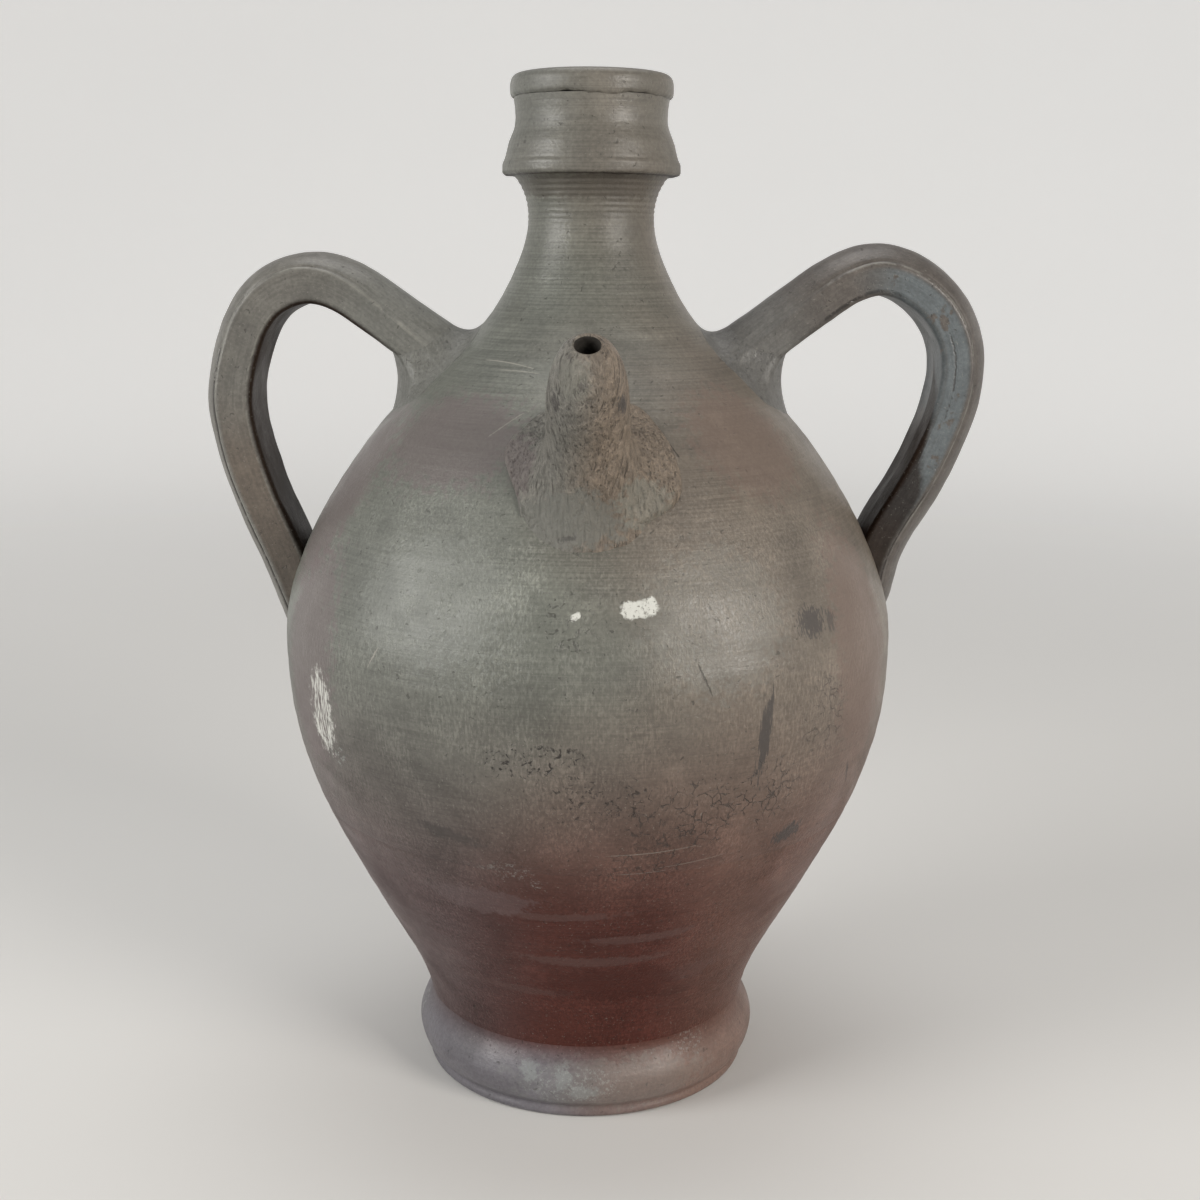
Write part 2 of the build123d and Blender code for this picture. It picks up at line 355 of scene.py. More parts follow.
    def outside(self, low: float, high: float, step: float) -> list[Vector]:
        """The points of the outside between two heights, evenly spaced.

        Args:
            low: The lower height.
            high: The upper height.
            step: The distance between the points.

        Returns:
            The points, rising.
        """
        line = [low]
        while line[-1] < high - step * self.slope(line[-1]).z * 1.2:
            line.append(line[-1] + step * max(self.least_rise_share, self.slope(line[-1]).z))
        line.append(high)
        return [Vector((self.radius(z), 0, z)) for z in line]

    def inside(self, low: float, high: float, step: float) -> list[Vector]:
        """The points of the inner wall between two heights, evenly spaced.

        Args:
            low: The lower height.
            high: The upper height.
            step: The distance between the points.

        Returns:
            The points, falling.
        """
        line = []
        for spot in reversed(self.outside(low, high, step)):
            share = ease(spot.z, self.belly_height, self.throat_height)
            deep = self.wall + (self.neck_wall - self.wall) * share
            line.append(spot - self.outward(spot.z) * deep)
        return line


OUTLINE = BodyOutline()


@dataclass
class Throwing:
    """The marks of the wheel and of the hands on the turned clay."""

    wobble: Amounts = ((13, 0.45 * MM), (42, 0.22 * MM))
    ridges: Amounts = ((240, 0.13 * MM), (520, 0.078 * MM))
    ridge_draw: float = 0.08
    score_depth: float = 0.35 * MM
    score_width: float = 0.9 * MM

    def offset(self, place: Vector) -> float:
        """How far the outside stands out from its outline.

        Args:
            place: A point on the outline.

        Returns:
            The distance.
        """
        move = swells(place, self.wobble) + swells(drawn_in(place, self.ridge_draw), self.ridges)
        patchy = 0.55 + 0.45 * clay_noise(place, 21)
        return move - bell(place.z, OUTLINE.belly_seam, self.score_width) * self.score_depth * patchy

    def apply(self, edit: bmesh.types.BMesh, fade: Callable[[Vector], float]) -> None:
        """Moves the outside of a turned mesh.

        Args:
            edit: The mesh.
            fade: Gives the share of the movement at a place.
        """
        for vert in edit.verts:
            share = fade(vert.co)
            if share > 0:
                vert.co += outwards(vert.co) * self.offset(vert.co) * share


THROWING = Throwing()


def on_clay(place: Vector, proud: float = 0.0) -> Vector:
    """The nearest point of the thrown clay, wobble and all, lifted by a distance."""
    spot = OUTLINE.on_body(place)
    return spot + outwards(spot) * THROWING.offset(spot) + OUTLINE.normal(spot) * proud


@dataclass(frozen=True)
class PhotoView:
    """The camera's place. Marks are placed by where they show in a frame of 1200 by 1200 pixels."""

    place: tuple[float, float, float] = (3.85 * MM, -526.35 * MM, 277.9 * MM)
    tilt: float = 12.574
    roll: float = 0.487
    lens: float = 48.0
    sensor: float = 36.0
    image: float = 1200.0
    stride: float = 1.0 * MM
    reach: float = 0.9

    @property
    def focal(self) -> float:
        """The focal length in pixels."""
        return self.lens / self.sensor * self.image

    @property
    def turn(self) -> Matrix:
        """The camera's rotation."""
        upright = Matrix.Rotation(math.radians(90 - self.tilt), 3, "X")
        return upright @ Matrix.Rotation(math.radians(self.roll), 3, "Z")

    def ray(self, across: float, down: float) -> Vector:
        """The direction in which a pixel looks."""
        half = self.image / 2
        return (self.turn @ Vector((across - half, half - down, -self.focal))).normalized()

    def on_body(self, across: float, down: float) -> Vector:
        """Where a pixel meets the turned body.

        Args:
            across: The pixel's place from the left.
            down: The pixel's place from the top.

        Returns:
            The point, or the nearest one of the body if the pixel misses it.
        """
        start, ray = Vector(self.place), self.ray(across, down)
        best, least = start, self.reach
        distance = 0.0
        while distance < self.reach:
            spot = start + ray * distance
            depth = OUTLINE.depth(spot)
            if depth > 0:
                return OUTLINE.on_body(spot)
            if -depth < least:
                best, least = spot, -depth
            distance += self.stride
        return OUTLINE.on_body(best)

    def on_plane(self, across: float, down: float, level: float) -> Vector:
        """Where a pixel meets the upright plane at a given Y."""
        start, ray = Vector(self.place), self.ray(across, down)
        return start + ray * ((level - start.y) / ray.y)

    def make(self) -> None:
        """Makes the camera and sets it as the scene's own."""
        lens = bpy.data.cameras.new("camera")
        lens.lens, lens.sensor_width = self.lens, self.sensor
        camera = bpy.data.objects.new("camera", lens)
        camera.matrix_world = Matrix.Translation(self.place) @ self.turn.to_4x4()
        bpy.context.scene.collection.objects.link(camera)
        bpy.context.scene.camera = camera


VIEW = PhotoView()


# Finishes


@dataclass(frozen=True)
class Mark:
    """A local mark on the clay, by its place and size in pixels of the frame."""

    kind: MarkKind
    across: float
    down: float
    width: float
    height: float
    turn: float = 0.0
    strength: float = 1.0
    level: float | None = None
    tone: Colour | None = None
    depth: float = 40.0

    def frame(self) -> tuple[Vector, Vector, Vector]:
        """Where the mark lies.

        Returns:
            The centre, the rotation as Euler angles, and the half sizes across, up and deep.
        """
        if self.level is None:
            spot = VIEW.on_body(self.across, self.down)
            out = OUTLINE.normal(spot)
        else:
            spot = VIEW.on_plane(self.across, self.down, self.level)
            out = Vector((0, -1, 0))
        side = Vector((0, 0, 1)).cross(out).normalized()
        basis = Matrix((side, out.cross(side), out)).transposed()
        basis = basis @ Matrix.Rotation(math.radians(self.turn), 3, "Z")
        scale = (spot - Vector(VIEW.place)).length / VIEW.focal / 2
        sizes = Vector((self.width, self.height, max(self.width, self.height, self.depth))) * scale
        return spot, Vector(basis.to_euler()), sizes


@dataclass(frozen=True)
class Stain:
    """A tone along part of a strap: out from the middle of its flat inside, and along it. Some are real
    stains and cracks, others painted shade or painted highlights.
    """

    tone: Colour
    inner: float
    outer: float
    start: float
    end: float
    strength: float = 0.8
    depth: float = 0.0
    broken: float = 0.0
    slant: float = 0.0
    soft_end: float = 0.02
    matt: float = 0.0


SPECK_TONE = (0.34, 0.33, 0.29)
PIT_TONE = (0.020, 0.017, 0.014)
TEAR_TONE = (0.035, 0.028, 0.022)
MARK_EDGE_SHARES = (1.05, 0.7)
SLENDER_SHARE = 2.2
LONG_CHALK = 60
MARK_TONES = {
    MarkKind.CHALK: (0.62, 0.62, 0.58),
    # The default bloom tone, pale grey-green; on the belly's two side patches it is painted sheen.
    MarkKind.BLOOM: (0.215, 0.225, 0.205),
    MarkKind.FROST: (0.36, 0.38, 0.36),
    MarkKind.SMUDGE: (0.048, 0.042, 0.040),
    MarkKind.SCORE: (0.022, 0.018, 0.016),
    MarkKind.SCRATCH: (0.30, 0.285, 0.25),
    MarkKind.CRACKLE: (0.040, 0.032, 0.028),
    MarkKind.PITS: (0.020, 0.016, 0.014),
}


class Graph:
    """A material's node tree with short calls for what the finishes need."""

    def __init__(self, name: str) -> None:
        """Starts a material with one clay shader and its object coordinates.

        Args:
            name: The material's name.
        """
        self.material = bpy.data.materials.new(name)
        self.material.use_nodes = True
        self.tree = self.material.node_tree
        self.tree.nodes.clear()
        self.shader = self.tree.nodes.new("ShaderNodeBsdfPrincipled")
        output = self.tree.nodes.new("ShaderNodeOutputMaterial")
        self.tree.links.new(self.shader.outputs[0], output.inputs[0])
        coordinates = self.tree.nodes.new("ShaderNodeTexCoord")
        self.place = coordinates.outputs["Object"]
        self.strap = coordinates.outputs["UV"]
        self.axes = self.node("ShaderNodeSeparateXYZ", {0: self.place}).outputs

    def node(self, kind: str, inputs: dict, **settings) -> bpy.types.Node:
        """Adds a node.

        Args:
            kind: The node's type.
            inputs: For each input, by name or number, a socket to link or a value to set.
            settings: Properties of the node itself.

        Returns:
            The node.
        """
        made = self.tree.nodes.new(kind)
        for key, value in settings.items():
            setattr(made, key, value)
        for key, value in inputs.items():
            if isinstance(value, bpy.types.NodeSocket):
                self.tree.links.new(value, made.inputs[key])
            else:
                made.inputs[key].default_value = value
        return made

    def noise(
        self, place: Socket, scale: float, detail: float = 2.0, rough: float = 0.5, twist: float = 0.0
    ) -> Socket:
        """Cloudy noise from 0 to 1 at a scale in cycles a metre."""
        values = {"Scale": scale, "Detail": detail, "Roughness": rough, "Distortion": twist}
        return self.node("ShaderNodeTexNoise", {"Vector": place, **values}).outputs[0]

    def stretched(self, place: Socket, scale: tuple[float, float, float]) -> Socket:
        """Coordinates scaled differently along each axis."""
        return self.node("ShaderNodeMapping", {"Vector": place, "Scale": scale}).outputs[0]

    def ramp(self, value: Value, low: float, high: float, start: float = 0.0, end: float = 1.0) -> Socket:
        """A smooth step of a value between two limits."""
        inputs = {"Value": value, "From Min": low, "From Max": high, "To Min": start, "To Max": end}
        return self.node("ShaderNodeMapRange", inputs, interpolation_type="SMOOTHSTEP").outputs[0]

    def math(self, operation: str, first: Value, second: Value = 0.0, third: Value = 0.0) -> Socket:
        """Arithmetic on one to three values."""
        return self.node("ShaderNodeMath", {0: first, 1: second, 2: third}, operation=operation).outputs[0]

    def product(self, *factors: Value) -> Value:
        """The product of several values.

        Args:
            factors: The values, as sockets or numbers.

        Returns:
            The product.
        """
        result = factors[0]
        for factor in factors[1:]:
            result = self.math("MULTIPLY", result, factor)
        return result

    def mix(
        self, first: Socket | Colour, second: Socket | Colour, share: Value, blend: str = "MIX"
    ) -> Socket:
        """Two colours mixed by a share.

        Args:
            first: The colour at a share of 0.
            second: The colour at a share of 1.
            share: The share.
            blend: How the second colour is laid on the first.

        Returns:
            The colour.
        """
        colours = [c if isinstance(c, bpy.types.NodeSocket) else (*c, 1.0) for c in (first, second)]
        inputs = {0: share, 6: colours[0], 7: colours[1]}
        return self.node("ShaderNodeMix", inputs, data_type="RGBA", blend_type=blend).outputs[2]

    def shaded(self, colour: Socket, brightness: Value) -> Socket:
        """A colour made lighter or darker by a factor."""
        grey = self.node("ShaderNodeCombineXYZ", {0: brightness, 1: brightness, 2: brightness}).outputs[0]
        return self.mix(colour, grey, 1.0, "MULTIPLY")

    def spot(self, mark: Mark, ragged: Socket) -> Socket:
        """A mask of a mark, with a ragged edge.

        Args:
            mark: The mark.
            ragged: Noise that moves the edge.

        Returns:
            The mask, 1 inside the mark and 0 outside.
        """
        centre, turn, sizes = mark.frame()
        inputs = {"Vector": self.place, "Location": centre, "Rotation": turn, "Scale": sizes}
        local = self.node("ShaderNodeMapping", inputs, vector_type="TEXTURE").outputs[0]
        far = self.node("ShaderNodeVectorMath", {0: local}, operation="LENGTH").outputs["Value"]
        return self.ramp(self.math("ADD", far, ragged), *MARK_EDGE_SHARES)


@dataclass(frozen=True)
class PatternScales:
    """The scales of the clay's patterns, in cycles a metre, or along each axis."""

    cloud: float = 16
    patches: float = 22
    burnish: float = 34
    mottle: float = 42
    strap_drift: float = 110
    strap_gaps: float = 190
    crackle_gaps: float = 230
    crackle_swirl: float = 240
    strap_lumps: float = 260
    crackle: float = 270
    ragged: float = 420
    holes: float = 520
    pits: float = 620
    strap_edges: float = 700
    crumbs: float = 800
    grain: float = 900
    flakes: float = 1100
    specks: float = 1300
    wiping: tuple[float, float, float] = (26, 26, 1900)
    turning: tuple[float, float, float] = (8, 8, 380)
    pulling: tuple[float, float, float] = (90, 5, 1)
    strokes: tuple[float, float, float] = (1400, 1400, 420)
    streaks: tuple[float, float, float] = (1500, 1500, 150)
    torn: tuple[float, float, float] = (620, 620, 330)
    tears: tuple[float, float, float] = (1500, 1500, 95)


SCALES = PatternScales()


@dataclass(frozen=True)
class ClayFinish:
    """Unglazed black-fired clay: mottled tones, wiping lines, strokes, pits and local marks, some of them
    painted shade, painted sheen and painted reflection.
    """

    name: str
    # left and right: the clay's own tone; the cool cast on the left and the warm cast on the right are
    # painted reflection of the surroundings.
    left: Colour = (0.140, 0.145, 0.126)
    right: Colour = (0.152, 0.128, 0.104)
    side_from: float = -28 * MM
    side_to: float = 48 * MM
    # low_left, low and low_right: darker maroon tones toward low_to, by default on the lower belly, where
    # they are painted shade and painted reflection of red surroundings. The collar and the foot use them
    # for painted shade.
    low_left: Colour = (0.080, 0.050, 0.050)
    low: Colour = (0.073, 0.018, 0.013)
    low_right: Colour = (0.104, 0.050, 0.038)
    low_from: float = 168 * MM
    low_to: float = 74 * MM
    low_share: float = 0.95
    low_swing: float = 0.3
    low_left_edge: tuple[float, float] = (-48 * MM, -8 * MM)
    low_right_edge: tuple[float, float] = (16 * MM, 52 * MM)
    low_gloss_share: float = 0.3
    wiping_heights: tuple[float, float] = (150 * MM, 225 * MM)
    stroke_heights: tuple[float, float] = (232 * MM, 196 * MM)
    dark_share: float = 0.22
    rings: float = 1.0
    strokes: float = 1.0
    rugged: float = 0.0
    speckle: float = 0.3
    along_strap: bool = False
    roughness: float = 0.38
    gloss: float = 0.46
    bump: float = 1.0
    bump_depth: float = 0.16 * MM
    crackle_push: float = 5.0 * MM
    marks: tuple[Mark, ...] = field(default_factory=tuple)
    stains: tuple[Stain, ...] = field(default_factory=tuple)

    def build(self) -> bpy.types.Material:
        """Builds the material.

        Returns:
            The material.
        """
        graph = Graph(self.name)
        cloud = graph.noise(graph.place, SCALES.cloud, 2)
        mottle = graph.noise(graph.place, SCALES.mottle, 4, 0.6, 0.4)
        grain = graph.noise(graph.place, SCALES.grain, 3, 0.6)
        colour, cracks, shine = self._stains(graph, self._ground(graph, cloud, mottle))
        rings, strokes = self._rings(graph), self._strokes(graph)
        swing = graph.ramp(rings, 0.36, 0.64, -0.2 * self.rings, 0.2 * self.rings)
        if not self.along_strap:
            patch = graph.ramp(graph.noise(graph.place, SCALES.patches, 3, 0.6), 0.36, 0.62, 0.25, 1.0)
            swing = graph.product(swing, patch, graph.ramp(graph.axes[2], *self.wiping_heights, 0.6, 1.0))
        colour = graph.shaded(colour, graph.math("ADD", swing, 1.0))
        colour = graph.shaded(colour, graph.math("MULTIPLY_ADD", strokes, 0.42, 0.94))
        colour = graph.shaded(colour, graph.ramp(grain, 0.36, 0.64, 0.90, 1.10))
        speck = graph.ramp(graph.noise(graph.place, SCALES.specks, 3, 0.7), 0.62, 0.70)
        colour = graph.mix(colour, SPECK_TONE, graph.product(speck, self.speckle))
        pit = graph.ramp(graph.noise(graph.place, SCALES.pits, 2, 0.5, 0.6), 0.33, 0.27)
        colour = graph.mix(colour, PIT_TONE, graph.product(pit, 0.5))
        relief = graph.product(rings, 0.6 * self.rings)
        relief = graph.math("ADD", relief, graph.product(strokes, 0.45))
        relief = graph.math("ADD", relief, graph.product(grain, 0.9))
        relief = graph.math("SUBTRACT", relief, graph.product(pit, 0.6))
        if self.rugged > 0:
            colour, relief = self._rugged(graph, colour, relief)
        rough = graph.math("ADD", self.roughness, graph.ramp(mottle, 0.3, 0.7, -0.06, 0.1))
        relief = graph.math("SUBTRACT", relief, cracks)
        colour, relief, rough = self._marks(graph, colour, relief, rough)
        bump = {"Strength": 0.9, "Distance": self.bump_depth * self.bump, "Height": relief}
        graph.tree.links.new(colour, graph.shader.inputs["Base Color"])
        graph.tree.links.new(rough, graph.shader.inputs["Roughness"])
        graph.tree.links.new(graph.node("ShaderNodeBump", bump).outputs[0], graph.shader.inputs["Normal"])
        if self.low_share > 0:
            low_gloss = self.low_gloss_share * self.gloss
            gloss = graph.ramp(graph.axes[2], self.low_to, self.low_from, low_gloss, self.gloss)
            graph.tree.links.new(gloss, graph.shader.inputs["Specular IOR Level"])
        elif self.stains:
            gloss = graph.product(shine, self.gloss)
            graph.tree.links.new(gloss, graph.shader.inputs["Specular IOR Level"])
        else:
            graph.shader.inputs["Specular IOR Level"].default_value = self.gloss
        return graph.material

    def _rugged(self, graph: Graph, colour: Socket, relief: Socket) -> tuple[Socket, Socket]:
        """Adds the torn, upright grain of clay that was pulled down by the fingers.

        Args:
            graph: The material's graph.
            colour: The colour so far.
            relief: The height so far.

        Returns:
            The new colour and height.
        """
        torn = graph.noise(graph.stretched(graph.place, SCALES.torn), 1, 5, 0.75, 0.5)
        pulled = graph.noise(graph.stretched(graph.place, SCALES.tears), 1, 3, 0.6)
        crack = graph.ramp(pulled, 0.41, 0.35)
        dark, pale = 1 - 0.3 * self.rugged, 1 + 0.28 * self.rugged
        colour = graph.shaded(colour, graph.ramp(torn, 0.35, 0.65, dark, pale))
        colour = graph.mix(colour, TEAR_TONE, graph.product(crack, 0.65 * self.rugged))
        relief = graph.math("ADD", relief, graph.product(torn, 3.6 * self.rugged))
        relief = graph.math("ADD", relief, graph.product(pulled, 2.0 * self.rugged))
        return colour, graph.math("SUBTRACT", relief, graph.product(crack, 1.2 * self.rugged))

    def _ground(self, graph: Graph, cloud: Socket, mottle: Socket) -> Socket:
        """The ground colour: left and right tones, darker tones low down, and mottling. The side tones'
        casts are painted reflection; the low tones are painted shade, on the body also painted red
        reflection.

        Args:
            graph: The material's graph.
            cloud: Broad noise that moves the borders of the tones.
            mottle: Finer noise for the mottling.

        Returns:
            The colour.
        """
        # The side tones, whose casts are painted reflection.
        reach = 1.45 * (self.side_to - self.side_from)
        swing = graph.math("MULTIPLY_ADD", cloud, reach, -reach / 2)
        side = graph.ramp(graph.math("ADD", graph.axes[0], swing), self.side_from, self.side_to)
        colour = graph.mix(self.left, self.right, side)
        # Darker tones low down: painted shade, on the body also painted reflection of red surroundings.
        if self.low_share > 0:
            height = graph.math("MULTIPLY_ADD", swing, self.low_swing, graph.axes[2])
            warm = graph.mix(self.low_left, self.low, graph.ramp(graph.axes[0], *self.low_left_edge))
            warm = graph.mix(warm, self.low_right, graph.ramp(graph.axes[0], *self.low_right_edge))
            share = graph.ramp(height, self.low_from, self.low_to, 0, self.low_share)
            colour = graph.mix(colour, warm, share)
        colour = graph.shaded(colour, graph.ramp(mottle, 0.47, 0.72, 1.0, 1 - self.dark_share))
        return graph.shaded(colour, graph.ramp(mottle, 0.45, 0.28, 1.0, 1.28))

    def _rings(self, graph: Graph) -> Socket:
        """Fine wiping lines round the jug, or along the strap.

        Args:
            graph: The material's graph.

        Returns:
            The lines' height, from 0 to 1.
        """
        if self.along_strap:
            fine = graph.noise(graph.stretched(graph.strap, SCALES.pulling), 1, 3, 0.6)
            lumps = graph.noise(graph.place, SCALES.strap_lumps, 3)
            return graph.math("MULTIPLY_ADD", lumps, 0.45, graph.product(fine, 0.55))
        fine = graph.noise(graph.stretched(graph.place, SCALES.wiping), 1, 3, 0.6)
        broad = graph.noise(graph.stretched(graph.place, SCALES.turning), 1, 4, 0.6)
        return graph.math("MULTIPLY_ADD", fine, 0.7, graph.product(broad, 0.3))

    def _strokes(self, graph: Graph) -> Socket:
        """Short upright strokes left by the burnishing, in patches below the shoulder.

        Args:
            graph: The material's graph.

        Returns:
            The strokes' height, from 0 to 1.
        """
        place = graph.stretched(graph.place, SCALES.strokes)
        fine = graph.ramp(graph.noise(place, 1, 3, 0.65), 0.42, 0.66)
        patch = graph.ramp(graph.noise(graph.place, SCALES.burnish, 3, 0.6, 0.5), 0.38, 0.6, 0.15, 1.0)
        under = graph.ramp(graph.axes[2], *self.stroke_heights)
        return graph.product(fine, patch, under, self.strokes)

    def _stains(self, graph: Graph, colour: Socket) -> tuple[Socket, Value, Value]:
        """Adds the tones and lines that run along a strap: stains and cracks, with painted shade and
        painted highlights among them.

        Args:
            graph: The material's graph.
            colour: The colour so far.

        Returns:
            The new colour, the depth of the cracks, and the share of the shine that is left.
        """
        cracks, shine = 0.0, 1.0
        if not self.stains:
            return colour, cracks, shine
        shares = graph.node("ShaderNodeSeparateXYZ", {0: graph.strap}).outputs
        drift = graph.noise(graph.place, SCALES.strap_drift, 3, 0.6)
        swing = graph.math("MULTIPLY_ADD", drift, 0.05, -0.025)
        around, along = shares[0], graph.math("ADD", shares[1], swing)
        gaps = graph.noise(graph.place, SCALES.strap_gaps, 3, 0.6)
        fine = graph.math("MULTIPLY_ADD", graph.noise(graph.place, SCALES.strap_edges, 2), 0.012, -0.006)
        around = graph.math("ADD", around, fine)
        for stain in self.stains:
            soft, fade = min(0.02, (stain.outer - stain.inner) / 2), stain.soft_end
            leaning = graph.math("MULTIPLY_ADD", around, stain.slant, along)
            mask = graph.product(
                graph.ramp(around, stain.inner - soft, stain.inner + soft),
                graph.ramp(around, stain.outer + soft, stain.outer - soft),
                graph.ramp(leaning, stain.start - fade, stain.start + fade),
                graph.ramp(along, stain.end + fade, stain.end - fade),
                stain.strength,
            )
            if stain.broken > 0:
                mask = graph.product(mask, graph.ramp(gaps, stain.broken - 0.04, stain.broken + 0.04))
            colour = graph.mix(colour, stain.tone, mask)
            if stain.depth:
                cracks = graph.math("MULTIPLY_ADD", mask, stain.depth, cracks)
            if stain.matt:
                shine = graph.product(graph.math("MULTIPLY_ADD", mask, -stain.matt, 1.0), shine)
        return colour, cracks, shine

    def _marks(
        self, graph: Graph, colour: Socket, relief: Socket, rough: Socket
    ) -> tuple[Socket, Socket, Socket]:
        """Adds the local marks.

        Args:
            graph: The material's graph.
            colour: The colour so far.
            relief: The height so far.
            rough: The roughness so far.

        Returns:
            The new colour, height and roughness.
        """
        if not self.marks:
            return colour, relief, rough
        ragged = graph.math("MULTIPLY_ADD", graph.noise(graph.place, SCALES.ragged, 4, 0.65), 1.6, -0.8)
        streak = graph.noise(graph.stretched(graph.place, SCALES.streaks), 1, 3, 0.6)
        streaky = graph.math("MULTIPLY_ADD", streak, 2.6, -1.2)
        scuffs = graph.ramp(streak, 0.44, 0.52)
        patterns = {
            MarkKind.CRACKLE: self._crackle(graph),
            MarkKind.PITS: graph.ramp(graph.noise(graph.place, SCALES.holes, 2, 0.5, 1.0), 0.42, 0.34),
            MarkKind.FROST: graph.ramp(graph.noise(graph.place, SCALES.crumbs, 5, 0.8), 0.52, 0.60),
            MarkKind.CHALK: graph.ramp(graph.noise(graph.place, SCALES.flakes, 4, 0.8), 0.35, 0.45),
        }
        for mark in self.marks:
            slender = mark.height > SLENDER_SHARE * mark.width
            edge = streaky if mark.kind is MarkKind.SMUDGE or slender else ragged
            mask = graph.product(graph.spot(mark, edge), mark.strength)
            if mark.kind is MarkKind.CHALK and mark.height > LONG_CHALK:
                mask = graph.product(mask, scuffs)
            elif mark.kind in patterns:
                mask = graph.product(mask, patterns[mark.kind])
            colour = graph.mix(colour, mark.tone or MARK_TONES[mark.kind], mask)
            if mark.kind is MarkKind.CHALK:
                relief = graph.math("ADD", relief, graph.product(mask, 0.5))
                rough = graph.math("ADD", rough, graph.product(mask, 0.25))
            if mark.kind in (MarkKind.SCORE, MarkKind.CRACKLE, MarkKind.PITS):
                relief = graph.math("SUBTRACT", relief, graph.product(mask, 1.6))
        return colour, relief, rough

    def _crackle(self, graph: Graph) -> Socket:
        """Thin wandering cracks.

        Args:
            graph: The material's graph.

        Returns:
            The cracks, 1 where the clay is open and 0 elsewhere.
        """
        wander = {"Vector": graph.place, "Scale": SCALES.crackle_swirl, "Detail": 4.0}
        swirl = graph.node("ShaderNodeTexNoise", wander).outputs[1]
        reach = {0: swirl, 3: self.crackle_push}
        push = graph.node("ShaderNodeVectorMath", reach, operation="SCALE").outputs[0]
        moved = graph.node("ShaderNodeVectorMath", {0: graph.place, 1: push}, operation="ADD").outputs[0]
        net = {"Vector": moved, "Scale": SCALES.crackle}
        cells = graph.node("ShaderNodeTexVoronoi", net, feature="DISTANCE_TO_EDGE")
        gaps = graph.ramp(graph.noise(graph.place, SCALES.crackle_gaps, 3, 0.6), 0.42, 0.54)
        return graph.product(graph.ramp(cells.outputs["Distance"], 0.07, 0.01), gaps)


# Meshes


SHARP_ANGLE = 50.0
MERGE_DISTANCE = 0.01 * MM
SHEET_MERGE_DISTANCE = 0.003 * MM


def make_piece(
    name: str, edit: bmesh.types.BMesh, finishes: list, slot: Slot, node: str
) -> bpy.types.Object:
    """Turns an edited mesh into a piece of the jug.

    Args:
        name: The piece's name.
        edit: The mesh, which is freed.
        finishes: The piece's materials, in the order of its faces' numbers.
        slot: The record's material slot; not used.
        node: The solid that the piece stands for.

    Returns:
        The new object.
    """
    mesh = bpy.data.meshes.new(name)
    edit.to_mesh(mesh)
    edit.free()
    mesh.shade_smooth()
    mesh.set_sharp_from_angle(angle=math.radians(SHARP_ANGLE))
    for finish in finishes:
        mesh.materials.append(finish)
    piece = bpy.data.objects.new(name, mesh)
    bpy.context.scene.collection.objects.link(piece)
    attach(piece, ROOT_BODY)
    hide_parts(node)
    LOG.info("%s: %d faces", name, len(mesh.polygons))
    return piece


def spun(line: list[Vector], turns: int, closed: bool) -> bmesh.types.BMesh:
    """A mesh turned about the jug's axis.

    Args:
        line: The outline's points.
        turns: The number of steps round the axis.
        closed: Whether the outline's last point joins its first.

    Returns:
        The mesh, with its poles merged.
    """
    edit = bmesh.new()
    verts = [edit.verts.new(p) for p in line]
    pairs = list(zip(verts, verts[1:])) + ([(verts[-1], verts[0])] if closed else [])
    edges = [edit.edges.new(pair) for pair in pairs]
    bmesh.ops.spin(
        edit, geom=verts + edges, cent=(0, 0, 0), axis=(0, 0, 1), angle=2 * math.pi, steps=turns,
        use_merge=True,
    )
    bmesh.ops.remove_doubles(edit, verts=edit.verts, dist=MERGE_DISTANCE)
    bmesh.ops.recalc_face_normals(edit, faces=edit.faces)
    return edit


def sheet(rows: int, columns: int, surface: Callable[[int, int], Vector]) -> bmesh.types.BMesh:
    """A grid bent into a tube that closes on itself along its columns.

    Args:
        rows: The number of stretches along the tube.
        columns: The number of stretches round it.
        surface: Gives the place of a row and column.

    Returns:
        The mesh, with its seam merged, its ends capped and a map of shares round and along it.
    """
    edit = bmesh.new()
    bmesh.ops.create_grid(edit, x_segments=columns, y_segments=rows, size=1.0)
    shares = {v: ((v.co.x + 1) / 2, (v.co.y + 1) / 2) for v in edit.verts}
    chart = edit.loops.layers.uv.new("strap")
    for face in edit.faces:
        for loop in face.loops:
            loop[chart].uv = shares[loop.vert]
    for vert, (around, along) in shares.items():
        vert.co = surface(round(along * rows), round(around * columns) % columns)
    bmesh.ops.remove_doubles(edit, verts=edit.verts, dist=SHEET_MERGE_DISTANCE)
    bmesh.ops.holes_fill(edit, edges=[e for e in edit.edges if e.is_boundary], sides=0)
    bmesh.ops.recalc_face_normals(edit, faces=edit.faces)
    return edit


def kneaded(edit: bmesh.types.BMesh, amounts: Amounts, keep: Callable[[Vector], float]) -> None:
    """Moves a mesh's points in and out with smooth noise, as hands leave clay.

    Args:
        edit: The mesh.
        amounts: Pairs of a scale in cycles a metre and a distance.
        keep: Gives the share of the movement at a place.
    """
    edit.normal_update()
    moves = [v.normal * swells(v.co, amounts) * keep(v.co) for v in edit.verts]
    for vert, move in zip(edit.verts, moves):
        vert.co += move


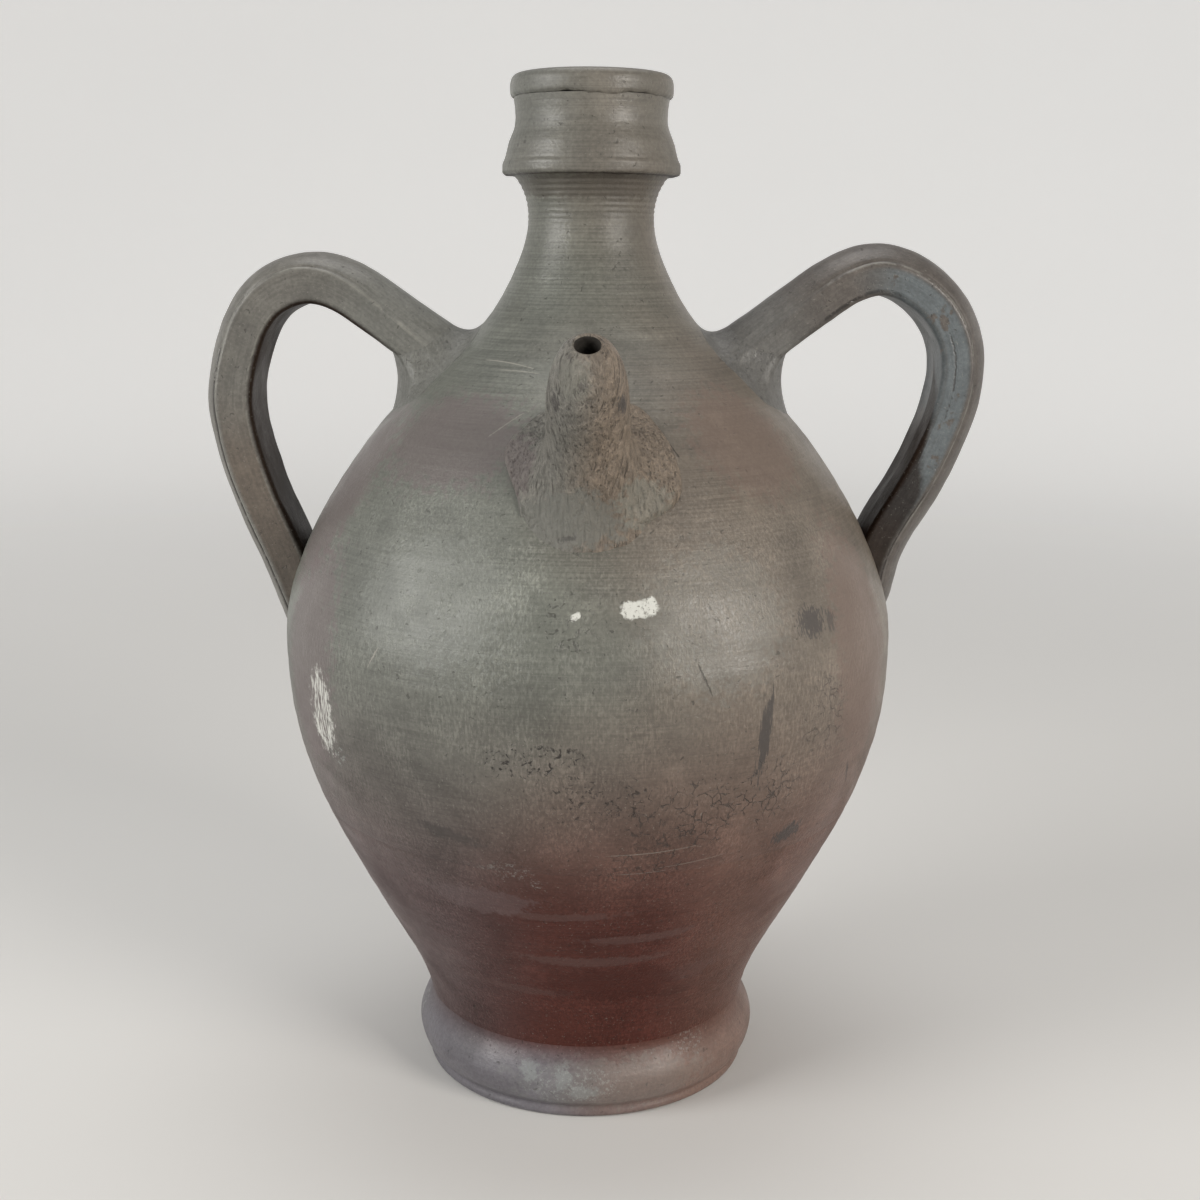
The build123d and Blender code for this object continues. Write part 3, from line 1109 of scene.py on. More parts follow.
@dataclass
class ThrownBody:
    """The body in its thrown stages: lower belly, upper belly and neck."""

    turns: int = 420
    step: float = 1.15 * MM
    inner_step: float = 9.0 * MM
    neck_step: float = 0.45 * MM
    base_radius: float = 48.0 * MM
    base_thickness: float = 9.0 * MM
    blend: float = 6.0 * MM
    neck_flare: float = 4.6 * MM
    ridge_pitch: float = 1.7 * MM
    ridge_height: float = 0.17 * MM
    ridge_start: float = 6.0 * MM
    ridge_full: float = 4.0 * MM
    ridge_fade: float = 1.5 * MM
    ridge_end: float = 0.2 * MM
    ridge_wander: float = 45
    ridge_patches: float = 300
    neck_calm_share: float = 0.65

    def build(self, finishes: list, cutter: bpy.types.Object) -> None:
        """Builds the three stages and pierces the shoulder.

        Args:
            finishes: The finishes of the outside and of the inside.
            cutter: The shape of the drinking hole, which is used up.
        """
        self._lower(finishes)
        shoulder = self._upper(finishes)
        cut = shoulder.modifiers.new("drinking_hole", "BOOLEAN")
        cut.operation, cut.solver, cut.object = "DIFFERENCE", "EXACT", cutter
        finished = shoulder.evaluated_get(bpy.context.evaluated_depsgraph_get())
        pierced = bpy.data.meshes.new_from_object(finished)
        shoulder.modifiers.clear()
        shoulder.data = pierced
        bpy.data.objects.remove(cutter)
        self._neck(finishes)

    def _lower(self, finishes: list) -> None:
        """The lower belly with its flat floor.

        Args:
            finishes: The finishes of the outside and of the inside.
        """
        outside = OUTLINE.outside(OUTLINE.foot_height, OUTLINE.belly_seam, self.step)
        inside = OUTLINE.inside(OUTLINE.foot_height, OUTLINE.belly_seam, self.inner_step)
        corner = Vector((self.base_radius - OUTLINE.wall, 0, self.base_thickness))
        floor = [corner, Vector((0, 0, self.base_thickness))]
        line = [Vector(), Vector((self.base_radius, 0, 0)), *outside, *inside, *floor]
        edit = spun(line, self.turns, False)
        THROWING.apply(edit, self._lower_share)
        make_piece("lower_belly_wall", edit, finishes[:1], Slot.BLACK, "lower_belly")

    def _outer_share(self, place: Vector) -> float:
        """1 on the outside of the wall and 0 on its inside."""
        return 1.0 if OUTLINE.depth(place) < OUTLINE.wall * 0.3 else 0.0

    def _lower_share(self, place: Vector) -> float:
        """How much of the throwing shows on the lower belly."""
        start = OUTLINE.foot_height
        return self._outer_share(place) * ease(place.z, start, start + self.blend)

    def _upper(self, finishes: list) -> bpy.types.Object:
        """The upper belly and shoulder.

        Args:
            finishes: The finishes of the outside and of the inside.

        Returns:
            The piece, not yet pierced.
        """
        outside = OUTLINE.outside(OUTLINE.belly_seam, OUTLINE.neck_seam, self.step)
        inside = OUTLINE.inside(OUTLINE.belly_seam, OUTLINE.neck_seam, self.inner_step)
        edit = spun([*outside, *inside], self.turns, True)
        THROWING.apply(edit, self._outer_share)
        return make_piece("upper_belly_wall", edit, finishes[:1], Slot.BLACK, "upper_belly")

    def _neck(self, finishes: list) -> None:
        """The bottle neck, flared under the collar, with its turning ridges.

        Args:
            finishes: The finishes of the outside and of the inside.
        """
        outside = OUTLINE.outside(OUTLINE.neck_seam, OUTLINE.throat_height, self.neck_step)
        inside = OUTLINE.inside(OUTLINE.neck_seam, OUTLINE.throat_height, self.inner_step / 2)
        edge = (OUTLINE.throat_radius + self.neck_flare, 0, OUTLINE.collar_bottom)
        flare = SmoothLine([outside[-1], edge], Vector((0, 0, 1)), Vector((1, 0, 1)).normalized())
        mouth = OUTLINE.throat_radius - OUTLINE.neck_wall
        tube = [
            Vector((OUTLINE.throat_radius, 0, OUTLINE.collar_bottom)),
            Vector((OUTLINE.throat_radius, 0, OUTLINE.collar_top)),
            Vector((mouth, 0, OUTLINE.collar_top)),
        ]
        line = [*outside, *flare.spread(self.neck_step)[1:], *tube, *inside]
        edit = spun(line, self.turns - 60, True)
        THROWING.apply(edit, self._neck_share)
        for vert in edit.verts:
            rise = self._ridge_share(vert.co.z)
            if rise > 0 and from_axis(vert.co) > OUTLINE.throat_radius - 1 * MM:
                wander = 1.2 * clay_noise(vert.co, self.ridge_wander)
                swing = math.sin(2 * math.pi * vert.co.z / self.ridge_pitch + wander)
                patch = outwards(vert.co) + Vector((0, 0, vert.co.z * self.ridge_patches))
                strength = 0.7 + 0.5 * clay_noise(patch, 1)
                vert.co += outwards(vert.co) * swing * rise * strength * self.ridge_height
        for face in edit.faces:
            inside = from_axis(face.calc_center_median()) < OUTLINE.throat_radius - 2 * MM
            if inside and face.normal.z < 0.9:
                face.material_index = 1
        make_piece("neck_wall", edit, finishes, Slot.BLACK, "neck")

    def _ridge_share(self, height: float) -> float:
        """How much of the turning ridges shows at a height.

        Args:
            height: The height on the neck.

        Returns:
            The share, from 0 to 1.
        """
        bottom, throat = OUTLINE.collar_bottom, OUTLINE.throat_height
        rise = ease(height, throat - self.ridge_start, throat + self.ridge_full)
        return rise * (1 - ease(height, bottom - self.ridge_fade, bottom - self.ridge_end))

    def _neck_share(self, place: Vector) -> float:
        """How much of the throwing shows on the neck.

        Args:
            place: A point of the neck.

        Returns:
            The share, 0 on the inside and under the collar.
        """
        if from_axis(place) <= OUTLINE.radius(place.z) - 2 * MM:
            return 0.0
        fade = 1 - self.neck_calm_share * ease(place.z, OUTLINE.neck_seam, OUTLINE.throat_height)
        return fade * (1 - ease(place.z, OUTLINE.collar_bottom - 2 * MM, OUTLINE.collar_bottom))


@dataclass
class MouthCollar:
    """The cuff round the neck, with its crumbly lower edge.

    The outline's points are given by how far in from the foot's radius they lie, in millimetres, and by
    their height as a share of the roll's height or of the collar's.
    """

    turns: int = 480
    step: float = 0.4 * MM
    foot_radius: float = 28.3 * MM
    roll: float = 4.8 * MM
    roll_line: tuple = ((1.3, 0.0), (0.25, 0.13), (0.0, 0.4), (0.1, 0.75), (0.6, 1.0))
    flank_line: tuple = ((2.1, 0.42), (3.95, 0.62), (4.3, 0.75), (3.7, 1.0))
    swell: Amounts = ((26, 0.25 * MM),)
    lines: Amounts = ((620, 0.08 * MM),)
    crumbs: Amounts = ((420, 1.0), (950, 0.7))
    crumble: float = 0.5 * MM
    crumble_width: float = 1.3 * MM
    groove_depth: float = 0.4 * MM
    groove_width: float = 0.42 * MM
    groove_wander: float = 0.15 * MM
    edge_wander: float = 0.15 * MM
    ticks: int = 150

    def build(self, finish: bpy.types.Material) -> None:
        """Builds the collar.

        Args:
            finish: The collar's finish.
        """
        bottom, top, inner = OUTLINE.collar_bottom, OUTLINE.collar_top, OUTLINE.throat_radius
        side = SmoothLine([
            (self.foot_radius - inset * MM, 0, bottom + share * height)
            for line, height in ((self.roll_line, self.roll), (self.flank_line, top - bottom))
            for inset, share in line
        ])
        line = side.spread(self.step)
        edit = spun([*line, Vector((inner, 0, top)), Vector((inner, 0, bottom))], self.turns, True)
        for vert in edit.verts:
            if from_axis(vert.co) > inner + 1 * MM:
                self._work(vert)
        make_piece("mouth_collar_cuff", edit, [finish], Slot.BLACK, "mouth_collar")

    def _work(self, vert: bmesh.types.BMVert) -> None:
        """Moves a point of the collar's outside as the fingers left it.

        Args:
            vert: The point.
        """
        bottom, around = OUTLINE.collar_bottom, outwards(vert.co)
        groove = bottom + self.roll + self.groove_wander * clay_noise(vert.co, 160)
        line_share = 0.45 + 0.9 * clay_noise(around + Vector((0.4, 0, 0)), 1.3)
        move = swells(vert.co, self.swell) + swells(drawn_in(vert.co), self.lines)
        move -= bell(vert.co.z, groove, self.groove_width) * self.groove_depth * line_share
        edge = bell(vert.co.z, bottom, self.crumble_width)
        rough = swells(vert.co, self.crumbs)
        tick = math.sin(self.ticks * math.atan2(vert.co.y, vert.co.x)) * (0.5 + clay_noise(vert.co, 90))
        vert.co += around * (move + edge * (rough * 0.45 + tick * 0.3) * self.crumble)
        vert.co.z += edge * (rough * self.crumble * 0.45 + clay_noise(around, 2.2) * self.edge_wander)


@dataclass
class RimBand:
    """The lip coil on top of the collar.

    The outer line's points are given by how far in from the side and how high above the collar they lie,
    and the inner line's by how far out from the mouth and how far under the top, in millimetres.
    """

    turns: int = 480
    step: float = 0.4 * MM
    mouth_radius: float = 15.0 * MM
    side_radius: float = 25.7 * MM
    seat_inset: float = 2.0 * MM
    outer_line: tuple = (
        (0.9, -0.1), (0.2, 0.7), (0.0, 1.8), (0.1, 4.4), (1.0, 6.3), (3.2, 7.25), (7.3, 7.6),
    )
    inner_line: tuple = ((1.4, 0.1), (0.2, 1.1), (0.0, 2.6))
    swell: Amounts = ((30, 0.25 * MM), (110, 0.08 * MM))
    lines: Amounts = ((600, 0.06 * MM),)
    wander: float = 0.7 * MM
    wander_width: float = 1.4 * MM
    wander_waves: Amounts = ((1.9, 1.0), (6.5, 0.5))
    wander_crumbs: Amounts = ((420, 0.35),)

    def build(self, finishes: list) -> None:
        """Builds the rim band.

        Args:
            finishes: The finishes of the outside and of the inside.
        """
        bottom = OUTLINE.collar_top
        top = bottom + OUTLINE.rim_height
        over = SmoothLine([
            *((self.side_radius - inset * MM, 0, bottom + rise * MM) for inset, rise in self.outer_line),
            *((self.mouth_radius + out * MM, 0, top - drop * MM) for out, drop in self.inner_line),
        ])
        back = [
            Vector((self.mouth_radius, 0, bottom)),
            Vector((self.side_radius - self.seat_inset, 0, bottom)),
        ]
        edit = spun(over.spread(self.step) + back, self.turns, True)
        for vert in edit.verts:
            around = outwards(vert.co)
            edge = bell(vert.co.z, bottom, self.wander_width)
            outer = ease(from_axis(vert.co), self.mouth_radius + 1 * MM, self.side_radius - 5 * MM)
            drop = swells(around, self.wander_waves) + swells(vert.co, self.wander_crumbs)
            move = swells(vert.co, self.swell) + swells(drawn_in(vert.co), self.lines)
            vert.co += around * outer * move
            vert.co.z += outer * edge * drop * self.wander
        for face in edit.faces:
            if from_axis(face.calc_center_median()) < self.mouth_radius + 0.4 * MM:
                face.material_index = 1
        make_piece("rim_band_lip", edit, finishes, Slot.BLACK, "rim_band")


@dataclass
class FootRing:
    """The flared ring of clay round the base, with a thin lip at the sole.

    The outline's points are given by their radius and height, in millimetres.
    """

    turns: int = 420
    step: float = 0.6 * MM
    base_radius: float = 48.0 * MM
    blend: float = 5.0 * MM
    swell: Amounts = ((16, 0.45 * MM), (60, 0.2 * MM))
    lines: Amounts = ((300, 0.12 * MM),)
    line: tuple = (
        (53.2, 0.0), (54.7, 0.7), (55.1, 1.8), (54.6, 3.4), (56.4, 5.8), (57.9, 9.0),
        (58.5, 12.2), (57.6, 16.6), (55.8, 20.3), (54.4, 23.2), (54.2, 25.0),
    )

    def build(self, finish: bpy.types.Material) -> None:
        """Builds the foot ring.

        Args:
            finish: The foot's finish.
        """
        side = SmoothLine([(r * MM, 0, z * MM) for r, z in self.line])
        edit = spun([*side.spread(self.step), Vector((self.base_radius, 0, 0))], self.turns, True)
        top = OUTLINE.foot_height
        for vert in edit.verts:
            if from_axis(vert.co) < self.base_radius + 2 * MM:
                continue
            share = ease(vert.co.z, 0.0, self.blend) * (1 - ease(vert.co.z, top - self.blend, top))
            move = swells(vert.co, self.swell) + swells(drawn_in(vert.co), self.lines)
            vert.co += outwards(vert.co) * move * share
        make_piece("foot_ring_clay", edit, [finish], Slot.FOOT, "foot_ring")


@dataclass(frozen=True)
class Fillet:
    """How clay flows from a limb onto the body, for the limb's upper side, flanks and lower side."""

    climb: tuple[float, float, float]
    spread: tuple[float, float, float]
    fullness: tuple[float, float, float]
    rows: int
    burial: float = 0.0
    sink: float = 0.6 * MM
    lift: float = 0.05 * MM
    search: float = 60 * MM
    search_step: float = 0.2 * MM
    rim: float = 0.8 * MM
    root_depth: float = 3.0 * MM

    def column(
        self, path: Callable[[float], Vector], out: Vector, turn: float,
        height: Callable[[Vector], float], start: float,
    ) -> list[Vector]:
        """One column of the fillet.

        Args:
            path: The limb's surface by distance along it, from the body outwards.
            out: The direction that leaves the limb in this column.
            turn: Which side of the limb it is, from 1 above to -1 below.
            height: How thick the clay already is at a place on the body.
            start: A distance along the limb that is surely outside the body.

        Returns:
            The points, from the limb down to the body and just under it.
        """
        share = ease(abs(turn), 0.0, 1.0)
        climb, spread, fullness = (
            values[1] + (values[0 if turn > 0 else 2] - values[1]) * share
            for values in (self.climb, self.spread, self.fullness)
        )
        reach = start
        while reach > start - self.search and -OUTLINE.depth(path(reach)) > height(path(reach)):
            reach -= self.search_step
        corner, first = path(reach), path(reach + climb)
        normal = OUTLINE.normal(corner)
        away = (out - normal * out.dot(normal)).normalized()
        last = corner + away * spread
        last = on_clay(last, height(last) + self.lift)
        corner = on_clay(corner, height(corner)).lerp((first + last) / 2, fullness)
        points = []
        for k in range(self.rows + 1):
            t = k / self.rows
            point = first * (1 - t) ** 2 + corner * 2 * t * (1 - t) + last * t * t
            points.append(point - out * self.burial * (1 - ease(t, 0.0, 0.3)))
        edge = on_clay(last + away * self.rim, height(last) - self.sink)
        deep = OUTLINE.on_body(edge) - OUTLINE.normal(edge) * self.root_depth
        return [*points, edge, deep]


@dataclass
class SpoutClay:
    """The clay smeared round the spout's root, with a raised wing on either side.

    The edge's points are given in pixels of the frame.
    """

    root: Vector
    edge: tuple = (
        (567, 402), (543, 410), (523, 427), (502, 451), (505, 471), (514, 495), (523, 516), (543, 530),
        (565, 536), (592, 538), (620, 533), (648, 524), (669, 513), (683, 499), (684, 480), (680, 463),
        (672, 445), (657, 423), (640, 407), (613, 400), (590, 398), (567, 402),
    )
    rows: int = 34
    columns: int = 280
    wing_height: float = 4.2 * MM
    wing_edge: float = 1.9 * MM
    front_height: float = 1.5 * MM
    front_edge: float = 0.35 * MM
    edge_share: float = 0.93
    edge_drop: float = 0.3 * MM
    spout_share: float = 0.5
    spacing: float = 0.5 * MM
    skin_depth: float = 2.5 * MM
    row_power: float = 1.6
    swell: Amounts = ((75, 0.35 * MM), (260, 0.14 * MM))
    crumbs: Amounts = ((520, 0.45 * MM), (1100, 0.25 * MM))
    lower_crumb_share: float = 0.45

    @cached_property
    def axes(self) -> tuple[Vector, Vector]:
        """The directions across and up the shoulder at the root."""
        across = Vector((1, 0, 0))
        return across, OUTLINE.normal(self.root).cross(across)

    @cached_property
    def reach(self) -> tuple[list[float], list[float]]:
        """The edge as seen from the root.

        Returns:
            Rising angles, and the distance at each.
        """
        ring = SmoothLine([VIEW.on_body(x, y) for x, y in self.edge])
        seen = []
        for spot in ring.spread(self.spacing):
            side, up = ((spot - self.root).dot(axis) for axis in self.axes)
            seen.append((math.atan2(up, side), math.hypot(side, up)))
        seen.sort()
        return [a for a, _ in seen], [d for _, d in seen]

    def distance(self, angle: float) -> float:
        """How far the edge lies from the root in a direction."""
        return float(np.interp(angle, *self.reach, period=2 * math.pi))

    def thickness(self, angle: float, share: float) -> float:
        """How thick the clay is.

        Args:
            angle: The direction from the root.
            share: The share of the way to the edge.

        Returns:
            The thickness.
        """
        side = abs(math.cos(angle)) ** 1.5
        inner = self.front_height + (self.wing_height - self.front_height) * side
        edge = self.front_edge + (self.wing_edge - self.front_edge) * side
        fall = min(1.0, max(0.0, (1 - share) / (1 - self.spout_share))) ** (0.85 - 0.3 * math.cos(angle))
        over = max(0.0, share - self.edge_share) / (1 - self.edge_share)
        return (edge + (inner - edge) * fall) * math.sqrt(max(0.0, 1 - over * over)) - self.edge_drop * over

    def height(self, place: Vector) -> float:
        """How thick the clay is at a place.

        Args:
            place: A point on or near the body.

        Returns:
            The thickness, zero past the clay's edge.
        """
        side, up = ((place - self.root).dot(axis) for axis in self.axes)
        angle = math.atan2(up, side)
        share = math.hypot(side, up) / self.distance(angle)
        return max(0.0, self.thickness(angle, share)) if share < 1 else 0.0

    def build(self, finish: bpy.types.Material) -> None:
        """Builds the clay, closed by a skin under the body's surface.

        Args:
            finish: The clay's finish.
        """
        shares = [1 - (1 - k / self.rows) ** self.row_power for k in range(self.rows + 1)]
        across, up = self.axes

        def surface(row: int, column: int) -> Vector:
            """The place of a point of the clay: the first rows on its outside, the others on its skin.

            Args:
                row: The row, counted from the root to the edge and back.
                column: The column round the root.

            Returns:
                The place.
            """
            angle = 2 * math.pi * column / self.columns
            share = shares[min(row, 2 * self.rows - row)]
            flat = (across * math.cos(angle) + up * math.sin(angle)) * self.distance(angle) * share
            spot = OUTLINE.on_body(self.root + flat)
            if row > self.rows:
                return spot - OUTLINE.normal(spot) * self.skin_depth
            crumbs = ease(share, 0.75, 0.95) * (1.0 if math.cos(angle) < 0 else self.lower_crumb_share)
            lumps = swells(spot, self.swell) + crumbs * swells(spot, self.crumbs)
            fade = 1 - ease(share, 0.97, 1.0)
            return on_clay(spot, self.thickness(angle, share) + lumps * fade)

        edit = sheet(2 * self.rows, self.columns, surface)
        make_piece("spout_wings", edit, [finish], Slot.BLACK, "spout_root_clay")


@dataclass
class Spout:
    """The drinking spout and the clay smeared round its root.

    The side's points are given by their distance from the spout's axis and along it, in millimetres.
    """

    root_share: float = 0.470
    lean: float = 16.1
    length: float = 46.0 * MM
    bore_radius: float = 3.4 * MM
    bore_length: float = 16.0 * MM
    inlet_radius: float = 6.0 * MM
    inlet_drop: float = 3.0 * MM
    lip_flare: float = 0.3 * MM
    lip_start: float = 1.4 * MM
    lip_end: float = 0.45 * MM
    cutter_drop: float = 30.0 * MM
    cutter_rise: float = 8.0 * MM
    cutter_turns: int = 48
    side: tuple = (
        (13.4, -4.0), (12.8, 4.0), (12.0, 15.0), (10.9, 32.0), (8.2, 41.6), (6.0, 44.7), (4.2, 45.7),
    )
    columns: int = 160
    tip_rows: int = 60
    profile_step: float = 0.15 * MM
    skirt_start: float = 25.0 * MM
    soft_start: float = 0.5 * MM
    soft_full: float = 4.0 * MM
    kneading: Amounts = ((45, 0.4 * MM), (140, 0.2 * MM), (420, 0.08 * MM))
    fillet: Fillet = Fillet(
        climb=(7 * MM, 9 * MM, 21 * MM), spread=(5 * MM, 5.5 * MM, 13 * MM), fullness=(0.0, 0.05, 0.15),
        rows=22,
    )

    @cached_property
    def root(self) -> Vector:
        """Where the spout's axis meets the shoulder."""
        return OUTLINE.spot(OUTLINE.belly_height + self.root_share * OUTLINE.shoulder_rise, -math.pi / 2)

    @cached_property
    def axis(self) -> Vector:
        """The spout's direction.

        Returns:
            The unit direction from the root to the drinking hole.
        """
        flat = OUTLINE.outward(self.root.z)
        slope = math.atan2(flat.z, flat.x) + math.radians(self.lean)
        return Vector((0, -math.cos(slope), math.sin(slope)))

    @cached_property
    def profile(self) -> tuple[list[float], list[float]]:
        """The spout's outside: rising distances along the axis, and the radius at each."""
        spots = SmoothLine([(r * MM, 0, h * MM) for r, h in self.side]).spread(self.profile_step)
        return [p.z for p in spots], [p.x for p in spots]

    def radius(self, height: float) -> float:
        """The radius of the spout at a distance along its axis."""
        return float(np.interp(height, *self.profile))

    def cutter(self) -> bpy.types.Object:
        """The shape that pierces the shoulder under the spout.

        Returns:
            The shape's object.
        """
        low, high = -self.cutter_drop, self.cutter_rise
        line = [(0, low), (self.inlet_radius, low), (self.inlet_radius, high), (0, high)]
        edit = spun([Vector((r, 0, h)) for r, h in line], self.cutter_turns, False)
        turn = self.axis.to_track_quat("Z", "Y").to_matrix().to_4x4()
        edit.transform(Matrix.Translation(self.root) @ turn)
        mesh = bpy.data.meshes.new("bore")
        edit.to_mesh(mesh)
        edit.free()
        cutter = bpy.data.objects.new("bore", mesh)
        bpy.context.scene.collection.objects.link(cutter)
        return cutter

    def build(self, finishes: list) -> None:
        """Builds the smeared clay and the spout.

        Args:
            finishes: The finishes of the outside and of the inside.
        """
        clay = SpoutClay(self.root)
        clay.build(finishes[0])
        top, straight = self.length, self.length - self.bore_length
        bore = [
            (self.inlet_radius, -self.inlet_drop),
            (self.inlet_radius, 0.0),
            (self.bore_radius, straight),
            (self.bore_radius, straight + 7 * MM),
            (self.bore_radius, top - self.lip_start),
            (self.bore_radius + self.lip_flare, top - self.lip_end),
        ]
        across = Vector((1, 0, 0))
        upward = self.axis.cross(across)
        columns = []
        for c in range(self.columns):
            angle = 2 * math.pi * c / self.columns
            out = across * math.cos(angle) + upward * math.sin(angle)

            def path(height: float) -> Vector:
                """The spout's side by the distance along its axis."""
                return self.root + self.axis * height + out * self.radius(height)

            skirt = self.fillet.column(path, out, math.sin(angle), clay.height, self.skirt_start)
            low = (skirt[0] - self.root).dot(self.axis)
            tube = [self.root + self.axis * h + out * r for r, h in bore]
            side = [path(top + (low - top) * k / self.tip_rows) for k in range(self.tip_rows)]
            columns.append([*tube, *side, *skirt])
        edit = sheet(len(columns[0]) - 1, self.columns, lambda row, column: columns[column][row])
        self._open_bore(edit)
        kneaded(edit, self.kneading, self._soft_share)
        for face in edit.faces:
            height, radius = self._axial(face.calc_center_median())
            wide = height < straight and radius < self.inlet_radius + 0.1 * MM
            if wide or radius < self.bore_radius + 0.15 * MM:
                face.material_index = 1
        make_piece("spout_cone", edit, finishes, Slot.BLACK, "spout")

    def _axial(self, place: Vector) -> tuple[float, float]:
        """The place of a point as the spout's axis has it.

        Args:
            place: The point.

        Returns:
            The distance along the axis and the distance away from it.
        """
        away = place - self.root
        height = away.dot(self.axis)
        return height, (away - self.axis * height).length

    def _soft_share(self, place: Vector) -> float:
        """How much the hands moved the spout's clay at a place."""
        away = self._axial(place)[1] - self.bore_radius
        return ease(away, self.soft_start, self.soft_full)

    def _open_bore(self, edit: bmesh.types.BMesh) -> None:
        """Removes the caps that would close the bore, and joins the ends into one closed skin.

        Args:
            edit: The spout's mesh.
        """
        caps = [f for f in edit.faces if len(f.verts) > 4]
        rims = [e for f in caps for e in f.edges]
        bmesh.ops.delete(edit, geom=caps, context="FACES_ONLY")
        bmesh.ops.bridge_loops(edit, edges=rims)
        bmesh.ops.recalc_face_normals(edit, faces=edit.faces)


@dataclass
class StrapHandle:
    """A pulled strap handle, with the clay pressed round its top end."""

    name: str
    side: int
    projection: float
    crown_rise: float
    tail_drop: float
    path_shares: tuple
    tail_shares: tuple
    dome_share: float
    root_dome_share: float
    width: float = 27.0 * MM
    thickness: float = 16.0 * MM
    corner: float = 2.2 * MM
    crease: float = 0.9 * MM
    tail_width_share: float = 0.86
    root_share: float = 0.668
    root_thickness_share: float = 1.16
    root_swell_share: float = 0.35
    tail_start_share: float = 0.75
    rows: int = 300
    dome_shares: tuple = (
        (0.985, 0.10), (0.955, 0.16), (0.92, 0.04), (0.885, -0.22), (0.85, -0.04), (0.81, 0.08),
        (0.74, 0.04), (0.65, 0.0), (0.54, 0.0), (0.43, 0.0), (0.32, 0.0), (0.21, 0.0), (0.10, 0.0),
        (0.0, 0.0),
    )
    flat_share: float = 0.8
    corner_angles: tuple = (8, 27, 45, 63, 82)
    bead: float = 0.12 * MM
    groove_pitch: float = 14
    groove_swing: float = 0.9
    groove_seed: float = 3.1
    skirt_share: float = 0.12
    skirt_start: float = 45.0 * MM
    fillet: Fillet = Fillet(
        climb=(8 * MM, 9 * MM, 15 * MM), spread=(6 * MM, 5 * MM, 17 * MM), fullness=(0.1, 0.25, 0.66),
        rows=24, burial=0.05 * MM,
    )
    kneading: Amounts = ((24, 0.4 * MM), (75, 0.25 * MM), (240, 0.1 * MM))

    @cached_property
    def centre(self) -> SmoothLine:
        """The strap's centre line on the +X side.

        Returns:
            The curve, from inside the shoulder to the tail.
        """
        half = self.thickness / 2
        root = OUTLINE.spot(OUTLINE.belly_height + self.root_share * OUTLINE.shoulder_rise)
        tail_height = OUTLINE.belly_height - self.tail_drop
        reach = OUTLINE.belly_radius + self.projection - half - root.x
        rise = self.tail_drop + self.crown_rise - half
        limb = [Vector((root.x + out * reach, 0, tail_height + up * rise)) for out, up in self.path_shares]
        tail = [
            OUTLINE.spot(tail_height + up * rise, 0, proud * self.thickness - half)
            for up, proud in self.tail_shares
        ]
        buried = root - (limb[0] - root).normalized() * self.thickness
        return SmoothLine([buried, *limb, *tail])

    def section(
        self, width: float, thickness: float, dome: float, groove: float
    ) -> list[tuple[float, float]]:
        """The strap's section: flat inside, upright sides, a crease and a domed outside.

        Args:
            width: The strap's width.
            thickness: Its thickness.
            dome: The share of the thickness that is dome.
            groove: How strong the bead and groove beside the crease are.

        Returns:
            The points, across and outwards from the centre, always as many.
        """
        half, deep = width / 2, thickness / 2
        spring = deep - dome * thickness
        flat_end = self.corner - deep
        right = [(half * self.flat_share * k / 5, -deep) for k in range(6)]
        right += [
            (half - self.corner * (1 - math.sin(a)), -deep + self.corner * (1 - math.cos(a)))
            for a in map(math.radians, self.corner_angles)
        ]
        right += [(half, flat_end + (spring - self.crease - flat_end) * k / 5) for k in range(6)]
        right.append((half + self.bead * groove, spring - 0.3 * self.crease))
        bulge = dome * thickness
        radius = (half * half + bulge * bulge) / (2 * bulge)
        swing = math.asin(min(1.0, half / radius))
        if bulge > half:
            swing = math.pi - swing
        for share, proud in self.dome_shares:
            far = radius + proud * groove * MM
            right.append((far * math.sin(swing * share), deep - radius + far * math.cos(swing * share)))
        return right + [(-x, y) for x, y in reversed(right[1:-1])]

    def station(self, share: float) -> list[Vector]:
        """The strap's section at a share of its length, on the +X side.

        Args:
            share: The share, from 0 inside the shoulder to 1 at the tail.

        Returns:
            The section's points.
        """
        from_root = max(0.0, 1 - share / self.root_swell_share)
        to_tail = max(0.0, (share - self.tail_start_share) / (1 - self.tail_start_share))
        thickness = self.thickness * (1 + (self.root_thickness_share - 1) * from_root)
        width = self.width * (1 + (self.tail_width_share - 1) * to_tail)
        dome = self.dome_share + (self.root_dome_share - self.dome_share) * from_root
        drift = Vector((share * self.groove_pitch, self.side * self.groove_seed, 0))
        groove = 1.0 + self.groove_swing * clay_noise(drift, 1)
        middle, along = self.centre.at(share), self.centre.along(share)
        out = Vector((-along.z, 0, along.x))
        section = self.section(width, thickness, dome, groove)
        return [middle + out * height + Vector((0, across, 0)) for across, height in section]

    def flipped(self, place: Vector) -> Vector:
        """A point moved to the strap's own side."""
        return Vector((place.x * self.side, place.y, place.z))

    def build(self, finish: bpy.types.Material, root_finish: bpy.types.Material) -> None:
        """Builds the strap and its root clay.

        Args:
            finish: The strap's finish.
            root_finish: The finish of the clay at its root.
        """
        stations = [self.station(row / self.rows) for row in range(self.rows + 1)]
        columns = len(stations[0])
        edit = sheet(self.rows, columns, lambda row, column: self.flipped(stations[row][column]))
        kneaded(edit, self.kneading, lambda place: 1.0)
        make_piece(self.name + "_strap", edit, [finish], Slot.STRAP, "handle_" + self.name)
        self._root_clay(root_finish, stations)

